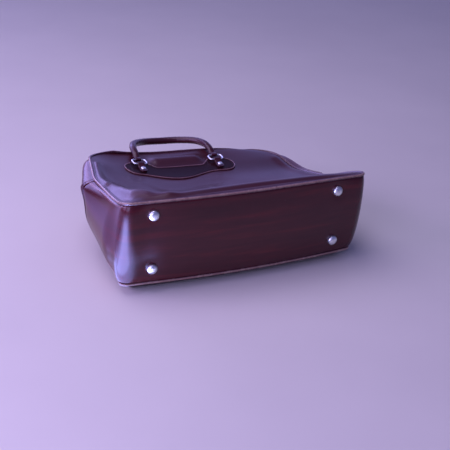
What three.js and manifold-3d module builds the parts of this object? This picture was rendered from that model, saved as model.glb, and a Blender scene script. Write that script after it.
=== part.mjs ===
// A gym bag of glossy vinyl that lies on its back, as an assembly of separate sewn and riveted pieces.
// Millimetres, +Z up. The bottom faces -Y, the front panel faces +Z and the zip mouth faces +Y.
import * as THREE from 'three';
import { mergeVertices } from 'three/addons/utils/BufferGeometryUtils.js';
import loadManifold from 'manifold-3d';

// Driving dimensions

const WALL = 2;
const SEAM_GAP = 0.4;
const SEAT_GAP = 0.3;
const HEIGHT = 300;
const WELD = 1e-3;
const SMALLEST_FACE = 1e-4;

// The panel outline, bottom to top: each corner's place and radius, and the divisions of the
// straight run that leads to it and of its arc. The middle of the seam arc is the lap of the gusset.
const OUTLINE = [
  { corner: 'bottom', x: 210, y: 0, radius: 12, lead: 6, arc: 4 },
  { corner: 'seam', x: 208, y: 168, radius: 140, lead: 5, arc: 2 },
  { corner: 'shoulder', x: 180, y: HEIGHT, radius: 60, lead: 5, arc: 5 },
];
const TOP_DIVISIONS = 6;
const BOTTOM_BOW = 12;

// The front edge of the lower right corner leans outwards, and so does the gusset under it, by a power of
// its share of the way up.
const LEAN = { reach: 13, from: 172, to: 208, fade: 60, power: 0.6 };

// The back edge is drawn in at both ends, which roll over it, and pushed out at its lower left corner.
const BACK_DRAW = { reach: 5, from: -5, to: 40 };
const BACK_CORNER = { x: -210, y: 0, reach: 40, out: 6 };

// Height of the front panel over the floor, a row for each section across the bag.
// It rolls over the bottom edge, is dished behind that, and slumps towards the right.
const FRONT_SECTIONS = [
  { y: 0, left: 160, middle: 160, right: 158 },
  { y: 10, left: 157, middle: 162.5, right: 158 },
  { y: 22, left: 152.5, middle: 158, right: 155 },
  { y: 36, left: 148.5, middle: 147.5, right: 149.5 },
  { y: 52, left: 145.5, middle: 132, right: 142 },
  { y: 75, left: 142, middle: 117, right: 130 },
  { y: 110, left: 138, middle: 105, right: 113.5 },
  { y: 160, left: 133, middle: 98, right: 94 },
  { y: 205, left: 132, middle: 94, right: 92.5 },
  { y: 255, left: 131, middle: 98.5, right: 95 },
  { y: HEIGHT, left: 120, middle: 106, right: 92 },
];
const TILT_SHARE = 0.35;

// Soft folds of the front panel: a ridge, or with a negative rise a crease, along each path. Each one
// fades out over a distance from the rim.
const FOLDS = [
  { fold: 'beside left piping', path: [[-203, 130], [-192, 235]], rise: 3.5, width: 9, fade: 7 },
  { fold: 'beside right piping', path: [[200, 130], [184, 245]], rise: 4, width: 10, fade: 16 },
  {
    fold: 'left roll', path: [[-178, 46], [-183, 58], [-190, 85], [-196, 125]], rise: 18, width: 26, fade: 24,
  },
  { fold: 'end of left roll', path: [[-158, 27], [-134, 18]], rise: 5, width: 16, fade: 16 },
  { fold: 'left slope', path: [[-165, 235], [-112, 130]], rise: 2, width: 26, fade: 16 },
  { fold: 'dish', path: [[-80, 150], [30, 168]], rise: -2, width: 20, fade: 16 },
  { fold: 'behind patch', path: [[-58, 268], [18, 268]], rise: 6, width: 14, fade: 16 },
];

// Height of the back panel: the piping at its rim and the panel inside it, flat on the floor
// low down and raised near the mouth, where the back handle lies under it.
const BACK_SECTIONS = [
  { y: 0, rim: 17, inside: 0 },
  { y: 165, rim: 17, inside: 0 },
  { y: 190, rim: 18, inside: 6 },
  { y: 215, rim: 20, inside: 15 },
  { y: 245, rim: 23, inside: 19.5 },
  { y: HEIGHT, rim: 25, inside: 21 },
];
const BACK_ROLL = 22;

// How far the gusset swells past the piping: evenly over the bottom and top. Below the lap the ends are a
// pillow, rolled over both pipings, and the bottom's corners stand out in a soft ridge. Above the lap the
// ends sag, but for a lip close to the front piping. Each range of y runs from a start to an end.
const SWELL = { bottom: 4, top: 8, end: 20, pillow: 0.4, rise: [-20, 60], fall: [162, 198] };
const LIP = { out: 18, rise: [150, 190], at: 205, reach: 75, power: 9, sag: 4 };
const CORNER_RIDGE = { x: 204, y: 2, left: 4, right: 1.5, reach: 20, power: 8 };
const GUSSET_ROWS = [0, 0.07, 0.2, 0.4, 0.6, 0.8, 0.93, 1];
const FRONT_RINGS = [1, 0.955, 0.9, 0.83, 0.74, 0.62, 0.46, 0.26, 0];
const BACK_RINGS = [1, 0.955, 0.9, 0.84, 0.62, 0.36, 0];

const PIPING = { radius: 2.5, sides: 6 };
const LAP_GAP = 0.4;
const MOUTH = { end: 4, middle: 16, rows: [0.22, 0.78], openRow: 3 };
const ZIP = { width: 3.2, thickness: 2.4, clear: 0.03, slider: { length: 11, thickness: 4, width: 9 } };

const FOOT = { radius: 8.8, height: 6.5, across: 165, rows: [0.175, 0.865], sides: 12 };
const FOOT_DOME = [
  { out: 0, up: 0 }, { out: 1, up: 0 }, { out: 0.98, up: 0.24 },
  { out: 0.8, up: 0.66 }, { out: 0.46, up: 0.92 }, { out: 0, up: 1 },
];

const PATCH = { x: -20, y: 235, half: 108, dip: 37, shoulder: 16, top: 28, end: 24, thickness: 1.6 };
const PATCH_DIP = { at: -13, half: 80 };
const PATCH_WAIST = { top: 9, from: 42, to: 66 };
const PATCH_GRID = { columns: 20, rows: 3, tip: 0.99 };
const HANDLE = { spread: 76, radius: 6.5, sides: 10, end: [6, 2.4], loop: 11, neck: 10, taper: 0.14 };
const CHAPE = { back: 9, reach: 15, width: 13, thickness: 3, eye: 3.9, bore: 2.05 };
const RING = { wire: 1.6, sides: 6, halfWidth: 13, length: 16, corner: 5 };
const RIVET = { radius: 4.6, height: 2.4, sides: 10 };
const RIVET_DOME = [
  { out: 0, up: 0 }, { out: 1, up: 0 }, { out: 0.9, up: 0.5 }, { out: 0.55, up: 0.86 }, { out: 0, up: 1 },
];

// The handle's route from a ring to the top of its arch: sideways from the middle as a share of the
// spread, and out past the ring. The front one rises over the mouth's edge, the back one lies flat.
const HANDLE_ROUTE = [
  { across: 1, out: 7, frontLift: 1, backHeight: 12.5 },
  { across: 0.99, out: 18, frontLift: 6, backHeight: 9 },
  { across: 0.95, out: 40, frontLift: 8, backHeight: 7 },
  { across: 0.82, out: 62, frontLift: 6, backHeight: 7 },
  { across: 0.5, out: 82, frontLift: 1, backHeight: 7 },
  { across: 0, out: 90, frontLift: -2, backHeight: 7 },
];
const HANDLE_STEPS = 26;
const MOUNT_SPOTS = [-CHAPE.back, 0, CHAPE.reach / 2, CHAPE.reach, CHAPE.reach + RING.length];

const VINYL = { color: 0x4a1d2b, roughness: 0.32, metalness: 0 };
const WORN_VINYL = { color: 0x7d4f52, roughness: 0.4, metalness: 0 };
const NICKEL = { color: 0xc9c7cc, roughness: 0.22, metalness: 1 };
const BRASS = { color: 0xa58a58, roughness: 0.4, metalness: 1 };

const { Manifold, Mesh: ManifoldMesh } = await startManifold();

async function startManifold() {
  const library = await loadManifold();
  library.setup();
  return library;
}

// Curves and tables

// A column of a table of sections at y, by a smooth cubic through the rows.
function sectionValue(rows, column, y) {
  const last = rows.length - 1;
  const at = THREE.MathUtils.clamp(y, rows[0].y, rows[last].y);
  const k = Math.min(rows.findLastIndex((row) => row.y <= at), last - 1);
  const slope = (i) => {
    const before = rows[Math.max(i - 1, 0)];
    const after = rows[Math.min(i + 1, last)];
    return (after[column] - before[column]) / (after.y - before.y);
  };
  const run = rows[k + 1].y - rows[k].y;
  const t = (at - rows[k].y) / run;
  const ease = t * t * (3 - 2 * t);
  const bend = slope(k) * t * (1 - t) ** 2 - slope(k + 1) * t * t * (1 - t);
  return THREE.MathUtils.lerp(rows[k][column], rows[k + 1][column], ease) + run * bend;
}

function bell(distance, width) {
  return Math.exp(-((distance / width) ** 2));
}

// Right half of the outline from the middle of the bottom to the middle of the top.
function halfOutline() {
  const points = [];
  let from = new THREE.Vector2(0, 0);
  const run = (start, end, divisions) => {
    for (let i = 0; i < divisions; i += 1) {
      points.push(start.clone().lerp(end, i / divisions));
    }
  };
  OUTLINE.forEach((row, k) => {
    const corner = new THREE.Vector2(row.x, row.y);
    const next = OUTLINE[k + 1] ?? { x: 0, y: HEIGHT };
    const before = OUTLINE[k - 1] ?? { x: 0, y: 0 };
    const into = corner.clone().sub(new THREE.Vector2(before.x, before.y)).normalize();
    const away = new THREE.Vector2(next.x, next.y).sub(corner).normalize();
    const turn = Math.acos(into.dot(away));
    const cut = row.radius * Math.tan(turn / 2);
    const start = corner.clone().addScaledVector(into, -cut);
    const normal = new THREE.Vector2(into.y, -into.x);
    const centre = start.clone().addScaledVector(normal, -row.radius);
    run(from, start, row.lead);
    for (let i = 0; i < row.arc; i += 1) {
      const spoke = normal.clone().rotateAround(new THREE.Vector2(), (turn * i) / row.arc);
      points.push(centre.clone().addScaledVector(spoke, row.radius));
    }
    from = corner.clone().addScaledVector(away, cut);
  });
  run(from, new THREE.Vector2(0, HEIGHT), TOP_DIVISIONS);
  points.push(new THREE.Vector2(0, HEIGHT));
  return points.map((p) => ({ x: p.x, y: p.y - (p.y < HEIGHT / 2 ? bottomBow(p.x) : 0) }));
}

function bottomBow(x) {
  return BOTTOM_BOW * Math.max(1 - (x / OUTLINE[0].x) ** 2, 0);
}

// The whole outline, with the outward normal of each place from its neighbours.
function loopOutline(half) {
  const mirrored = half.slice(1, -1).reverse().map((s) => ({ x: -s.x, y: s.y }));
  const loop = [...half, ...mirrored];
  return loop.map((s, i) => {
    const before = loop[(i + loop.length - 1) % loop.length];
    const after = loop[(i + 1) % loop.length];
    const length = Math.hypot(after.x - before.x, after.y - before.y);
    return { x: s.x, y: s.y, nx: (after.y - before.y) / length, ny: (before.x - after.x) / length };
  });
}

const HALF = halfOutline();
const LOOP = loopOutline(HALF);
const TOP_MIDDLE = HALF.length - 1;
const TOP_EDGE = TOP_MIDDLE - TOP_DIVISIONS;
const LAP = OUTLINE[0].lead + OUTLINE[0].arc + OUTLINE[1].lead + OUTLINE[1].arc / 2;

// Half the outline's width at y, which the bowed bottom edge never makes less than the flat of the bottom.
function halfWidth(y) {
  const k = THREE.MathUtils.clamp(HALF.findLastIndex((s) => s.y <= y), OUTLINE[0].lead, TOP_EDGE);
  const rise = HALF[k + 1].y - HALF[k].y;
  const t = rise > 0 ? THREE.MathUtils.clamp((y - HALF[k].y) / rise, 0, 1) : 0;
  return THREE.MathUtils.lerp(HALF[k].x, HALF[k + 1].x, t);
}

// Distance from a place to a path of straight runs.
function pathDistance(x, y, path) {
  return Math.min(...path.slice(1).map((to, i) => {
    const [fromX, fromY] = path[i];
    const along = new THREE.Vector2(to[0] - fromX, to[1] - fromY);
    const point = new THREE.Vector2(x - fromX, y - fromY);
    const t = THREE.MathUtils.clamp(point.dot(along) / along.lengthSq(), 0, 1);
    return point.addScaledVector(along, -t).length();
  }));
}

const RIM = [...LOOP, LOOP[0]].map((s) => [s.x, s.y]);

// Middle of the front panel's wall. Across the bag it runs from the left to the right rim as a tilt,
// partly straight and partly cubic, plus an even rise towards both rims.
function frontHeight(x, y) {
  const left = sectionValue(FRONT_SECTIONS, 'left', y);
  const middle = sectionValue(FRONT_SECTIONS, 'middle', y);
  const right = sectionValue(FRONT_SECTIONS, 'right', y);
  const across = THREE.MathUtils.clamp(x / halfWidth(y), -1, 1);
  const tilt = ((right - left) / 2) * across * (TILT_SHARE + (1 - TILT_SHARE) * across ** 2);
  const rise = ((left + right) / 2 - middle) * Math.abs(across) ** 3;
  const rim = pathDistance(x, y, RIM);
  const folds = FOLDS.reduce((sum, f) => {
    const fade = THREE.MathUtils.smoothstep(rim, 0, f.fade);
    return sum + f.rise * bell(pathDistance(x, y, f.path), f.width) * fade;
  }, 0);
  return middle + tilt + rise + folds;
}

// Middle of the back panel's wall.
function backHeight(x, y) {
  const rim = sectionValue(BACK_SECTIONS, 'rim', y);
  const inside = Math.max(sectionValue(BACK_SECTIONS, 'inside', y), 0) + WALL / 2;
  return THREE.MathUtils.lerp(rim, inside, THREE.MathUtils.smoothstep(pathDistance(x, y, RIM), 0, BACK_ROLL));
}

// How far the front edge is shifted along x at a place of the outline.
function frontShift(x, y) {
  return LEAN.reach * THREE.MathUtils.smoothstep(x, LEAN.from, LEAN.to) * bell(y, LEAN.fade);
}

// How far the back edge is shifted along x.
function backShift(x, y) {
  const drawn = BACK_DRAW.reach * THREE.MathUtils.smoothstep(y, BACK_DRAW.from, BACK_DRAW.to);
  const pushed = BACK_CORNER.out * bell(Math.hypot(x - BACK_CORNER.x, y - BACK_CORNER.y), BACK_CORNER.reach);
  return (-x / OUTLINE[0].x) * drawn - pushed;
}

// Geometry helpers

function solidOf(triangles) {
  const geometry = new THREE.BufferGeometry();
  const real = triangles.filter(([a, b, c]) => new THREE.Triangle(a, b, c).getArea() > SMALLEST_FACE);
  const volume = real.reduce((sum, [a, b, c]) => sum + a.dot(b.clone().cross(c)), 0);
  const facing = real.map(([a, b, c]) => (volume > 0 ? [a, b, c] : [a, c, b]));
  const numbers = facing.flat().flatMap((point) => point.toArray());
  geometry.setAttribute('position', new THREE.Float32BufferAttribute(numbers, 3));
  const welded = mergeVertices(geometry, WELD);
  welded.computeVertexNormals();
  return welded;
}

const quad = (a, b, c, d) => [[a, b, c], [a, c, d]];

// A wall between two grids of points. Cells that keep() refuses are left open, with walls round them.
function shell(outer, inner, { wrap = false, keep = () => true } = {}) {
  const columns = wrap ? outer.length : outer.length - 1;
  const rows = outer[0].length - 1;
  const triangles = [];
  const kept = (i, j) => {
    const column = wrap ? (i + columns) % columns : i;
    return column >= 0 && column < columns && j >= 0 && j < rows && keep(column, j);
  };
  for (let i = 0; i < columns; i += 1) {
    for (let j = 0; j < rows; j += 1) {
      if (!kept(i, j)) continue;
      const next = (i + 1) % outer.length;
      const ring = [[i, j], [next, j], [next, j + 1], [i, j + 1]];
      const beside = [[i, j - 1], [i + 1, j], [i, j + 1], [i - 1, j]];
      const [a, b, c, d] = ring.map(([p, q]) => outer[p][q]);
      const [e, f, g, h] = ring.map(([p, q]) => inner[p][q]);
      triangles.push(...quad(a, b, c, d), ...quad(h, g, f, e));
      beside.forEach(([p, q], k) => {
        if (kept(p, q)) return;
        const [from, rowFrom] = ring[k];
        const [to, rowTo] = ring[(k + 1) % 4];
        const edge = [outer[to][rowTo], outer[from][rowFrom], inner[from][rowFrom], inner[to][rowTo]];
        triangles.push(...quad(...edge));
      });
    }
  }
  return solidOf(triangles);
}

// A body through a row of closed rings, joined end to end or closed by flat ends.
function loft(rings, { wrap = false } = {}) {
  const triangles = [];
  const sides = rings[0].length;
  const spans = wrap ? rings.length : rings.length - 1;
  for (let i = 0; i < spans; i += 1) {
    const next = rings[(i + 1) % rings.length];
    for (let k = 0; k < sides; k += 1) {
      const far = (k + 1) % sides;
      triangles.push(...quad(rings[i][k], next[k], next[far], rings[i][far]));
    }
  }
  if (!wrap) {
    const last = rings[rings.length - 1];
    for (let k = 1; k < sides - 1; k += 1) {
      triangles.push([rings[0][0], rings[0][k], rings[0][k + 1]], [last[0], last[k + 1], last[k]]);
    }
  }
  return solidOf(triangles);
}

function sectionRing(centre, across, up, halfAcross, halfUp, sides) {
  return Array.from({ length: sides }, (_, k) => {
    const angle = ((k + 0.5) / sides) * 2 * Math.PI;
    const point = centre.clone().addScaledVector(across, halfAcross * Math.cos(angle));
    return point.addScaledVector(up, halfUp * Math.sin(angle));
  });
}

// A dome turned about +Y, from a table of shares of its radius and height.
function dome({ radius, height, sides }, profile) {
  const points = profile.map((row) => new THREE.Vector2(row.out * radius, row.up * height));
  return new THREE.LatheGeometry(points, sides);
}

function toManifold(geometry) {
  const bare = new THREE.BufferGeometry().setAttribute('position', geometry.getAttribute('position'));
  const welded = mergeVertices(bare.setIndex(geometry.getIndex()), WELD);
  return new Manifold(new ManifoldMesh({
    numProp: 3,
    vertProperties: Float32Array.from(welded.getAttribute('position').array),
    triVerts: Uint32Array.from(welded.getIndex().array),
  }));
}

function fromManifold(body) {
  const mesh = body.getMesh();
  const geometry = new THREE.BufferGeometry();
  geometry.setAttribute('position', new THREE.BufferAttribute(mesh.vertProperties, 3));
  geometry.setIndex(new THREE.BufferAttribute(mesh.triVerts, 1));
  geometry.computeVertexNormals();
  return geometry;
}

const bag = new THREE.Group();

function addPiece(name, geometry, finish, matrix = new THREE.Matrix4()) {
  const piece = new THREE.Mesh(geometry, new THREE.MeshStandardMaterial(finish));
  piece.name = name;
  piece.applyMatrix4(matrix);
  piece.updateMatrixWorld(true);
  bag.add(piece);
  return piece;
}

// Panels

function panel(rings, height, edgeShift) {
  const inset = PIPING.radius + SEAM_GAP;
  const centre = new THREE.Vector2(0, HEIGHT / 2);
  const grid = (side) => LOOP.map((s) => rings.map((share) => {
    const rim = new THREE.Vector2(s.x - s.nx * inset, s.y - s.ny * inset);
    const spot = centre.clone().lerp(rim, share);
    const x = spot.x + edgeShift(spot.x, spot.y);
    return new THREE.Vector3(x, spot.y, height(spot.x, spot.y) + (side * WALL) / 2);
  }));
  return shell(grid(1), grid(-1), { wrap: true });
}

const frontPanel = addPiece('front_panel', panel(FRONT_RINGS, frontHeight, frontShift), VINYL);
const backPanel = addPiece('back_panel', panel(BACK_RINGS, backHeight, backShift), VINYL);

// Gussets

function swell({ x, y, nx, ny }, share) {
  const { smoothstep } = THREE.MathUtils;
  const even = 4 * share * (1 - share);
  const below = smoothstep(y, ...SWELL.rise) * (1 - smoothstep(y, ...SWELL.fall));
  const peak = LIP.power / (LIP.power + 1);
  const lip = (share ** LIP.power * (1 - share)) / (peak ** LIP.power * (1 - peak));
  const above = smoothstep(y, ...LIP.rise) * bell(y - LIP.at, LIP.reach);
  const end = SWELL.end * below * even ** SWELL.pillow + above * (LIP.out * lip - LIP.sag * even);
  const corner = bell(Math.hypot(Math.abs(x) - CORNER_RIDGE.x, y - CORNER_RIDGE.y), CORNER_RIDGE.reach);
  const ridge = (x < 0 ? CORNER_RIDGE.left : CORNER_RIDGE.right) * (1 - (1 - even) ** CORNER_RIDGE.power);
  const flat = ny < 0 ? SWELL.bottom : SWELL.top;
  return nx ** 2 * end + ny ** 2 * flat * even + ridge * corner;
}

// A place on the middle of the gusset's wall: share 0 is at the back piping and 1 at the front one.
function gussetPoint(station, share, offset = 0) {
  const { x, y, nx, ny } = station;
  const inset = PIPING.radius + SEAM_GAP;
  const low = backHeight(x, y) + inset;
  const high = frontHeight(x, y) - inset;
  const out = swell(station, share) + offset;
  const shift = share ** LEAN.power * frontShift(x, y) + (1 - share) ** 2 * backShift(x, y);
  return new THREE.Vector3(x + nx * out + shift, y + ny * out, THREE.MathUtils.lerp(low, high, share));
}

// Stations of the loop from one index to another, the end ones drawn back along it by half the lap's gap.
function lapStations(first, last) {
  const count = LOOP.length;
  const stations = [];
  for (let i = first; i <= last; i += 1) {
    stations.push({ ...LOOP[(i + count) % count] });
  }
  const shift = (s, sign) => {
    s.x -= (sign * s.ny * LAP_GAP) / 2;
    s.y += (sign * s.nx * LAP_GAP) / 2;
  };
  shift(stations[0], 1);
  shift(stations[stations.length - 1], -1);
  return stations;
}

function gusset(stations, rowsAt, keep) {
  const grid = (side) => stations.map((s) => rowsAt(s).map((v) => gussetPoint(s, v, (side * WALL) / 2)));
  return shell(grid(1), grid(-1), { keep });
}

const bottomStations = lapStations(-LAP, LAP);
const topStations = lapStations(LAP, LOOP.length - LAP);
const mouthColumn = TOP_MIDDLE - LAP;
const mouthEnd = LOOP[TOP_EDGE].x;
const inMouth = (column) => column >= mouthColumn - TOP_DIVISIONS && column < mouthColumn + TOP_DIVISIONS;

function mouthHalf(x) {
  return MOUTH.end + (MOUTH.middle - MOUTH.end) * Math.max(1 - (x / mouthEnd) ** 2, 0);
}

function mouthShare(station) {
  const depth = gussetPoint(station, 1).z - gussetPoint(station, 0).z;
  return mouthHalf(station.x) / depth;
}

function topRows(station) {
  const [low, high] = MOUTH.rows;
  const half = mouthShare(station);
  return [0, low / 2, low, 0.5 - half, 0.5 + half, high, (1 + high) / 2, 1];
}

const bottomGusset = addPiece('bottom_gusset', gusset(bottomStations, () => GUSSET_ROWS), VINYL);
addPiece('top_gusset', gusset(topStations, topRows, (i, j) => !(inMouth(i) && j === MOUTH.openRow)), VINYL);

// Piping

function piping(height, edgeShift) {
  const up = new THREE.Vector3(0, 0, 1);
  return loft(LOOP.map((s) => {
    const x = s.x + edgeShift(s.x, s.y);
    const centre = new THREE.Vector3(x, s.y, height(s.x, s.y));
    const outward = new THREE.Vector3(s.nx, s.ny, 0);
    return sectionRing(centre, outward, up, PIPING.radius, PIPING.radius, PIPING.sides);
  }), { wrap: true });
}

addPiece('front_piping', piping(frontHeight, frontShift), WORN_VINYL);
addPiece('back_piping', piping(backHeight, backShift), WORN_VINYL);

// Zip

function zipRow(side) {
  const columns = topStations.slice(mouthColumn - TOP_DIVISIONS, mouthColumn + TOP_DIVISIONS + 1);
  const edge = columns.map((s) => gussetPoint(s, 0.5 + side * mouthShare(s)));
  edge[0].lerp(edge[1], ZIP.clear);
  edge.at(-1).lerp(edge.at(-2), ZIP.clear);
  const near = -side * SEAT_GAP;
  const far = -side * (SEAT_GAP + ZIP.width);
  const half = ZIP.thickness / 2;
  const corners = [[-half, near], [half, near], [half, far], [-half, far]];
  return loft(edge.map((p) => corners.map(([out, rise]) => new THREE.Vector3(p.x, p.y + out, p.z + rise))));
}

addPiece('zip_row_front', zipRow(1), BRASS);
addPiece('zip_row_back', zipRow(-1), BRASS);

function zipSlider() {
  const { length, thickness, width } = ZIP.slider;
  const seat = gussetPoint({ x: mouthEnd - length, y: HEIGHT, nx: 0, ny: 1 }, 0.5);
  const y = seat.y + (ZIP.thickness + thickness) / 2 + SEAT_GAP;
  return new THREE.BoxGeometry(length, thickness, width).translate(seat.x, y, seat.z);
}

addPiece('zip_slider', zipSlider(), NICKEL);

// Feet

// A place on the bottom's outer face, found along a ray from well outside the bag.
function bottomPoint(x, z) {
  const ray = new THREE.Raycaster(new THREE.Vector3(x, -2 * HEIGHT, z), new THREE.Vector3(0, 1, 0));
  return ray.intersectObject(bottomGusset)[0].point;
}

// Each foot stands square to the bottom, clear of the proudest place under its rim.
[['left', -1], ['right', 1]].forEach(([sideName, side]) => {
  const { radius, sides, rows } = FOOT;
  const x = side * FOOT.across;
  rows.forEach((share, k) => {
    const { z } = gussetPoint({ x, y: -bottomBow(x), nx: 0, ny: -1 }, share);
    const middle = bottomPoint(x, z);
    const up = bottomPoint(x, z + radius).sub(bottomPoint(x, z - radius));
    const axis = bottomPoint(x + radius, z).sub(bottomPoint(x - radius, z)).cross(up).normalize();
    const around = Array.from({ length: sides }, (_, i) => {
      const angle = (2 * Math.PI * i) / sides;
      return bottomPoint(x + radius * Math.cos(angle), z + radius * Math.sin(angle));
    });
    const proud = Math.max(0, ...around.map((spot) => spot.sub(middle).dot(axis)));
    const turn = new THREE.Quaternion().setFromUnitVectors(new THREE.Vector3(0, 1, 0), axis);
    const seat = middle.addScaledVector(axis, proud + SEAT_GAP);
    const place = new THREE.Matrix4().compose(seat, turn, new THREE.Vector3(1, 1, 1));
    addPiece(`foot_${sideName}_${k === 0 ? 'back' : 'front'}`, dome(FOOT, FOOT_DOME), NICKEL, place);
  });
});

// Handles, each with a patch, two rings on riveted chapes, and a rolled handle

const PANELS = {
  front: { mesh: frontPanel, facing: 1 },
  back: { mesh: backPanel, facing: -1 },
};

// Height of the panel's outer face at a place, found along a ray from well outside the bag.
function faceHeight({ mesh, facing }, x, y) {
  const start = new THREE.Vector3(x, y, facing * 2 * HEIGHT);
  const ray = new THREE.Raycaster(start, new THREE.Vector3(0, 0, -facing));
  return ray.intersectObject(mesh)[0].point.z;
}

// The patch's lower and upper edge: a dip between the mounts, a low waist over it, and round ends.
function patchEdges(along) {
  const side = Math.abs(along);
  const swing = THREE.MathUtils.clamp((along - PATCH_DIP.at) / PATCH_DIP.half, -1, 1);
  const low = -PATCH.shoulder - (PATCH.dip - PATCH.shoulder) * Math.cos((Math.PI / 2) * swing) ** 2;
  const past = Math.max(side - (PATCH.half - PATCH.end), 0) / PATCH.end;
  const round = Math.sqrt(Math.max(1 - past ** 2, 0));
  const lobe = THREE.MathUtils.smoothstep(side, PATCH_WAIST.from, PATCH_WAIST.to);
  const high = THREE.MathUtils.lerp(PATCH_WAIST.top, PATCH.top, lobe);
  const middle = (PATCH.top - PATCH.shoulder) / 2;
  return [middle + (low - middle) * round, middle + (high - middle) * round];
}

function patch(side) {
  const { columns, rows, tip } = PATCH_GRID;
  const grid = (lift) => Array.from({ length: columns + 1 }, (_, i) => {
    const along = -PATCH.half * tip * Math.cos((Math.PI * i) / columns);
    const [low, high] = patchEdges(along);
    return Array.from({ length: rows + 1 }, (__, j) => {
      const x = PATCH.x + along;
      const y = PATCH.y + THREE.MathUtils.lerp(low, high, j / rows);
      return new THREE.Vector3(x, y, faceHeight(side, x, y) + side.facing * lift);
    });
  });
  return shell(grid(SEAT_GAP + PATCH.thickness), grid(SEAT_GAP));
}

// Frame of one handle mount: its origin is on the patch under the rivet, +Y runs along the panel
// towards the mouth and +Z out of the panel.
function mountFrame(side, x) {
  const lift = SEAT_GAP + PATCH.thickness;
  const at = (dx, dy) => new THREE.Vector3(x + dx, PATCH.y + dy, faceHeight(side, x + dx, PATCH.y + dy));
  const along = at(0, CHAPE.reach + RING.length).sub(at(0, -CHAPE.back)).normalize();
  const across = at(CHAPE.width / 2, 0).sub(at(-CHAPE.width / 2, 0)).multiplyScalar(side.facing);
  const out = across.clone().cross(along).normalize();
  const right = along.clone().cross(out);
  const under = [-1, 0, 1].flatMap((dx) => MOUNT_SPOTS.map((dy) => at((dx * CHAPE.width) / 2, dy)));
  const proud = Math.max(...under.map((spot) => spot.sub(at(0, 0)).dot(out)));
  const seat = at(0, 0).addScaledVector(out, proud + lift + SEAT_GAP);
  return new THREE.Matrix4().makeBasis(right, along, out).setPosition(seat);
}

const EYE_HEIGHT = CHAPE.eye + SEAT_GAP;
const turnedProfile = new THREE.Matrix4().makeBasis(
  new THREE.Vector3(0, 1, 0),
  new THREE.Vector3(0, 0, 1),
  new THREE.Vector3(1, 0, 0),
);

// A strip with an eye at its end, drawn from the side and given its width across.
function eyeStrip(from, eyeAt, base, thickness, width) {
  const shape = new THREE.Shape();
  const top = base + thickness;
  const meet = Math.asin((EYE_HEIGHT - top) / CHAPE.eye);
  shape.moveTo(from, base);
  if (from < eyeAt) {
    shape.lineTo(eyeAt, EYE_HEIGHT - CHAPE.eye);
    shape.absarc(eyeAt, EYE_HEIGHT, CHAPE.eye, -Math.PI / 2, Math.PI + meet, false);
  } else {
    shape.lineTo(from, top);
    shape.absarc(eyeAt, EYE_HEIGHT, CHAPE.eye, -meet, (3 * Math.PI) / 2, false);
  }
  if (from < eyeAt) shape.lineTo(from, top);
  const bore = new THREE.Path();
  bore.absarc(eyeAt, EYE_HEIGHT, CHAPE.bore, 0, 2 * Math.PI, true);
  shape.holes.push(bore);
  const strip = new THREE.ExtrudeGeometry(shape, { depth: width, bevelEnabled: false, curveSegments: 5 });
  return strip.translate(0, 0, -width / 2).applyMatrix4(turnedProfile);
}

function ring() {
  const centre = new THREE.Vector3(0, CHAPE.reach + RING.length / 2, EYE_HEIGHT);
  const up = new THREE.Vector3(0, 0, 1);
  const rings = [];
  [[1, 1], [-1, 1], [-1, -1], [1, -1]].forEach(([sx, sy], k) => {
    for (let i = 0; i <= 4; i += 1) {
      const angle = (k + i / 4) * (Math.PI / 2);
      const outward = new THREE.Vector3(Math.cos(angle), Math.sin(angle), 0);
      const spot = centre.clone().addScaledVector(outward, RING.corner);
      spot.x += sx * (RING.halfWidth - RING.corner);
      spot.y += sy * (RING.length / 2 - RING.corner);
      rings.push(sectionRing(spot, outward, up, RING.wire, RING.wire, RING.sides));
    }
  });
  return loft(rings, { wrap: true });
}

function rivet() {
  const base = CHAPE.thickness + SEAT_GAP;
  return dome(RIVET, RIVET_DOME).rotateX(Math.PI / 2).translate(0, 0, base);
}

// The rolled handle from ring to ring, with an eye at each end. Its ends are flattened.
function handle(sideName, frames) {
  const barAt = CHAPE.reach + RING.length;
  const ends = frames.map((frame) => new THREE.Vector3(0, barAt, EYE_HEIGHT).applyMatrix4(frame));
  const middle = ends[0].clone().lerp(ends[1], 0.5);
  const spread = (ends[1].x - ends[0].x) / 2;
  const tilt = (ends[1].z - ends[0].z) / (2 * spread);
  const spot = (row, sign) => {
    const x = middle.x + sign * row.across * spread;
    const front = middle.z + tilt * sign * row.across * spread + row.frontLift;
    return new THREE.Vector3(x, middle.y + row.out, sideName === 'front' ? front : row.backHeight);
  };
  const leftLeg = HANDLE_ROUTE.map((row) => spot(row, -1));
  const rightLeg = HANDLE_ROUTE.slice(0, -1).reverse().map((row) => spot(row, 1));
  const route = new THREE.CatmullRomCurve3([...leftLeg, ...rightLeg]);
  const rings = Array.from({ length: HANDLE_STEPS + 1 }, (_, i) => {
    const t = i / HANDLE_STEPS;
    const along = route.getTangentAt(t);
    const across = along.clone().cross(new THREE.Vector3(0, 0, 1)).normalize();
    const up = across.clone().cross(along);
    const full = THREE.MathUtils.smoothstep(Math.min(t, 1 - t), 0, HANDLE.taper);
    const [endAcross, endUp] = HANDLE.end;
    const halfAcross = THREE.MathUtils.lerp(endAcross, HANDLE.radius, full);
    const halfUp = THREE.MathUtils.lerp(endUp, HANDLE.radius, full);
    return sectionRing(route.getPointAt(t), across, up, halfAcross, halfUp, HANDLE.sides);
  });
  const eyes = frames.map((frame) => {
    const neck = CHAPE.thickness / 2;
    const eye = eyeStrip(barAt + HANDLE.neck, barAt, EYE_HEIGHT - neck, 2 * neck, HANDLE.loop);
    return toManifold(eye.applyMatrix4(frame));
  });
  return fromManifold(eyes.reduce((body, eye) => body.add(eye), toManifold(loft(rings))));
}

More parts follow.
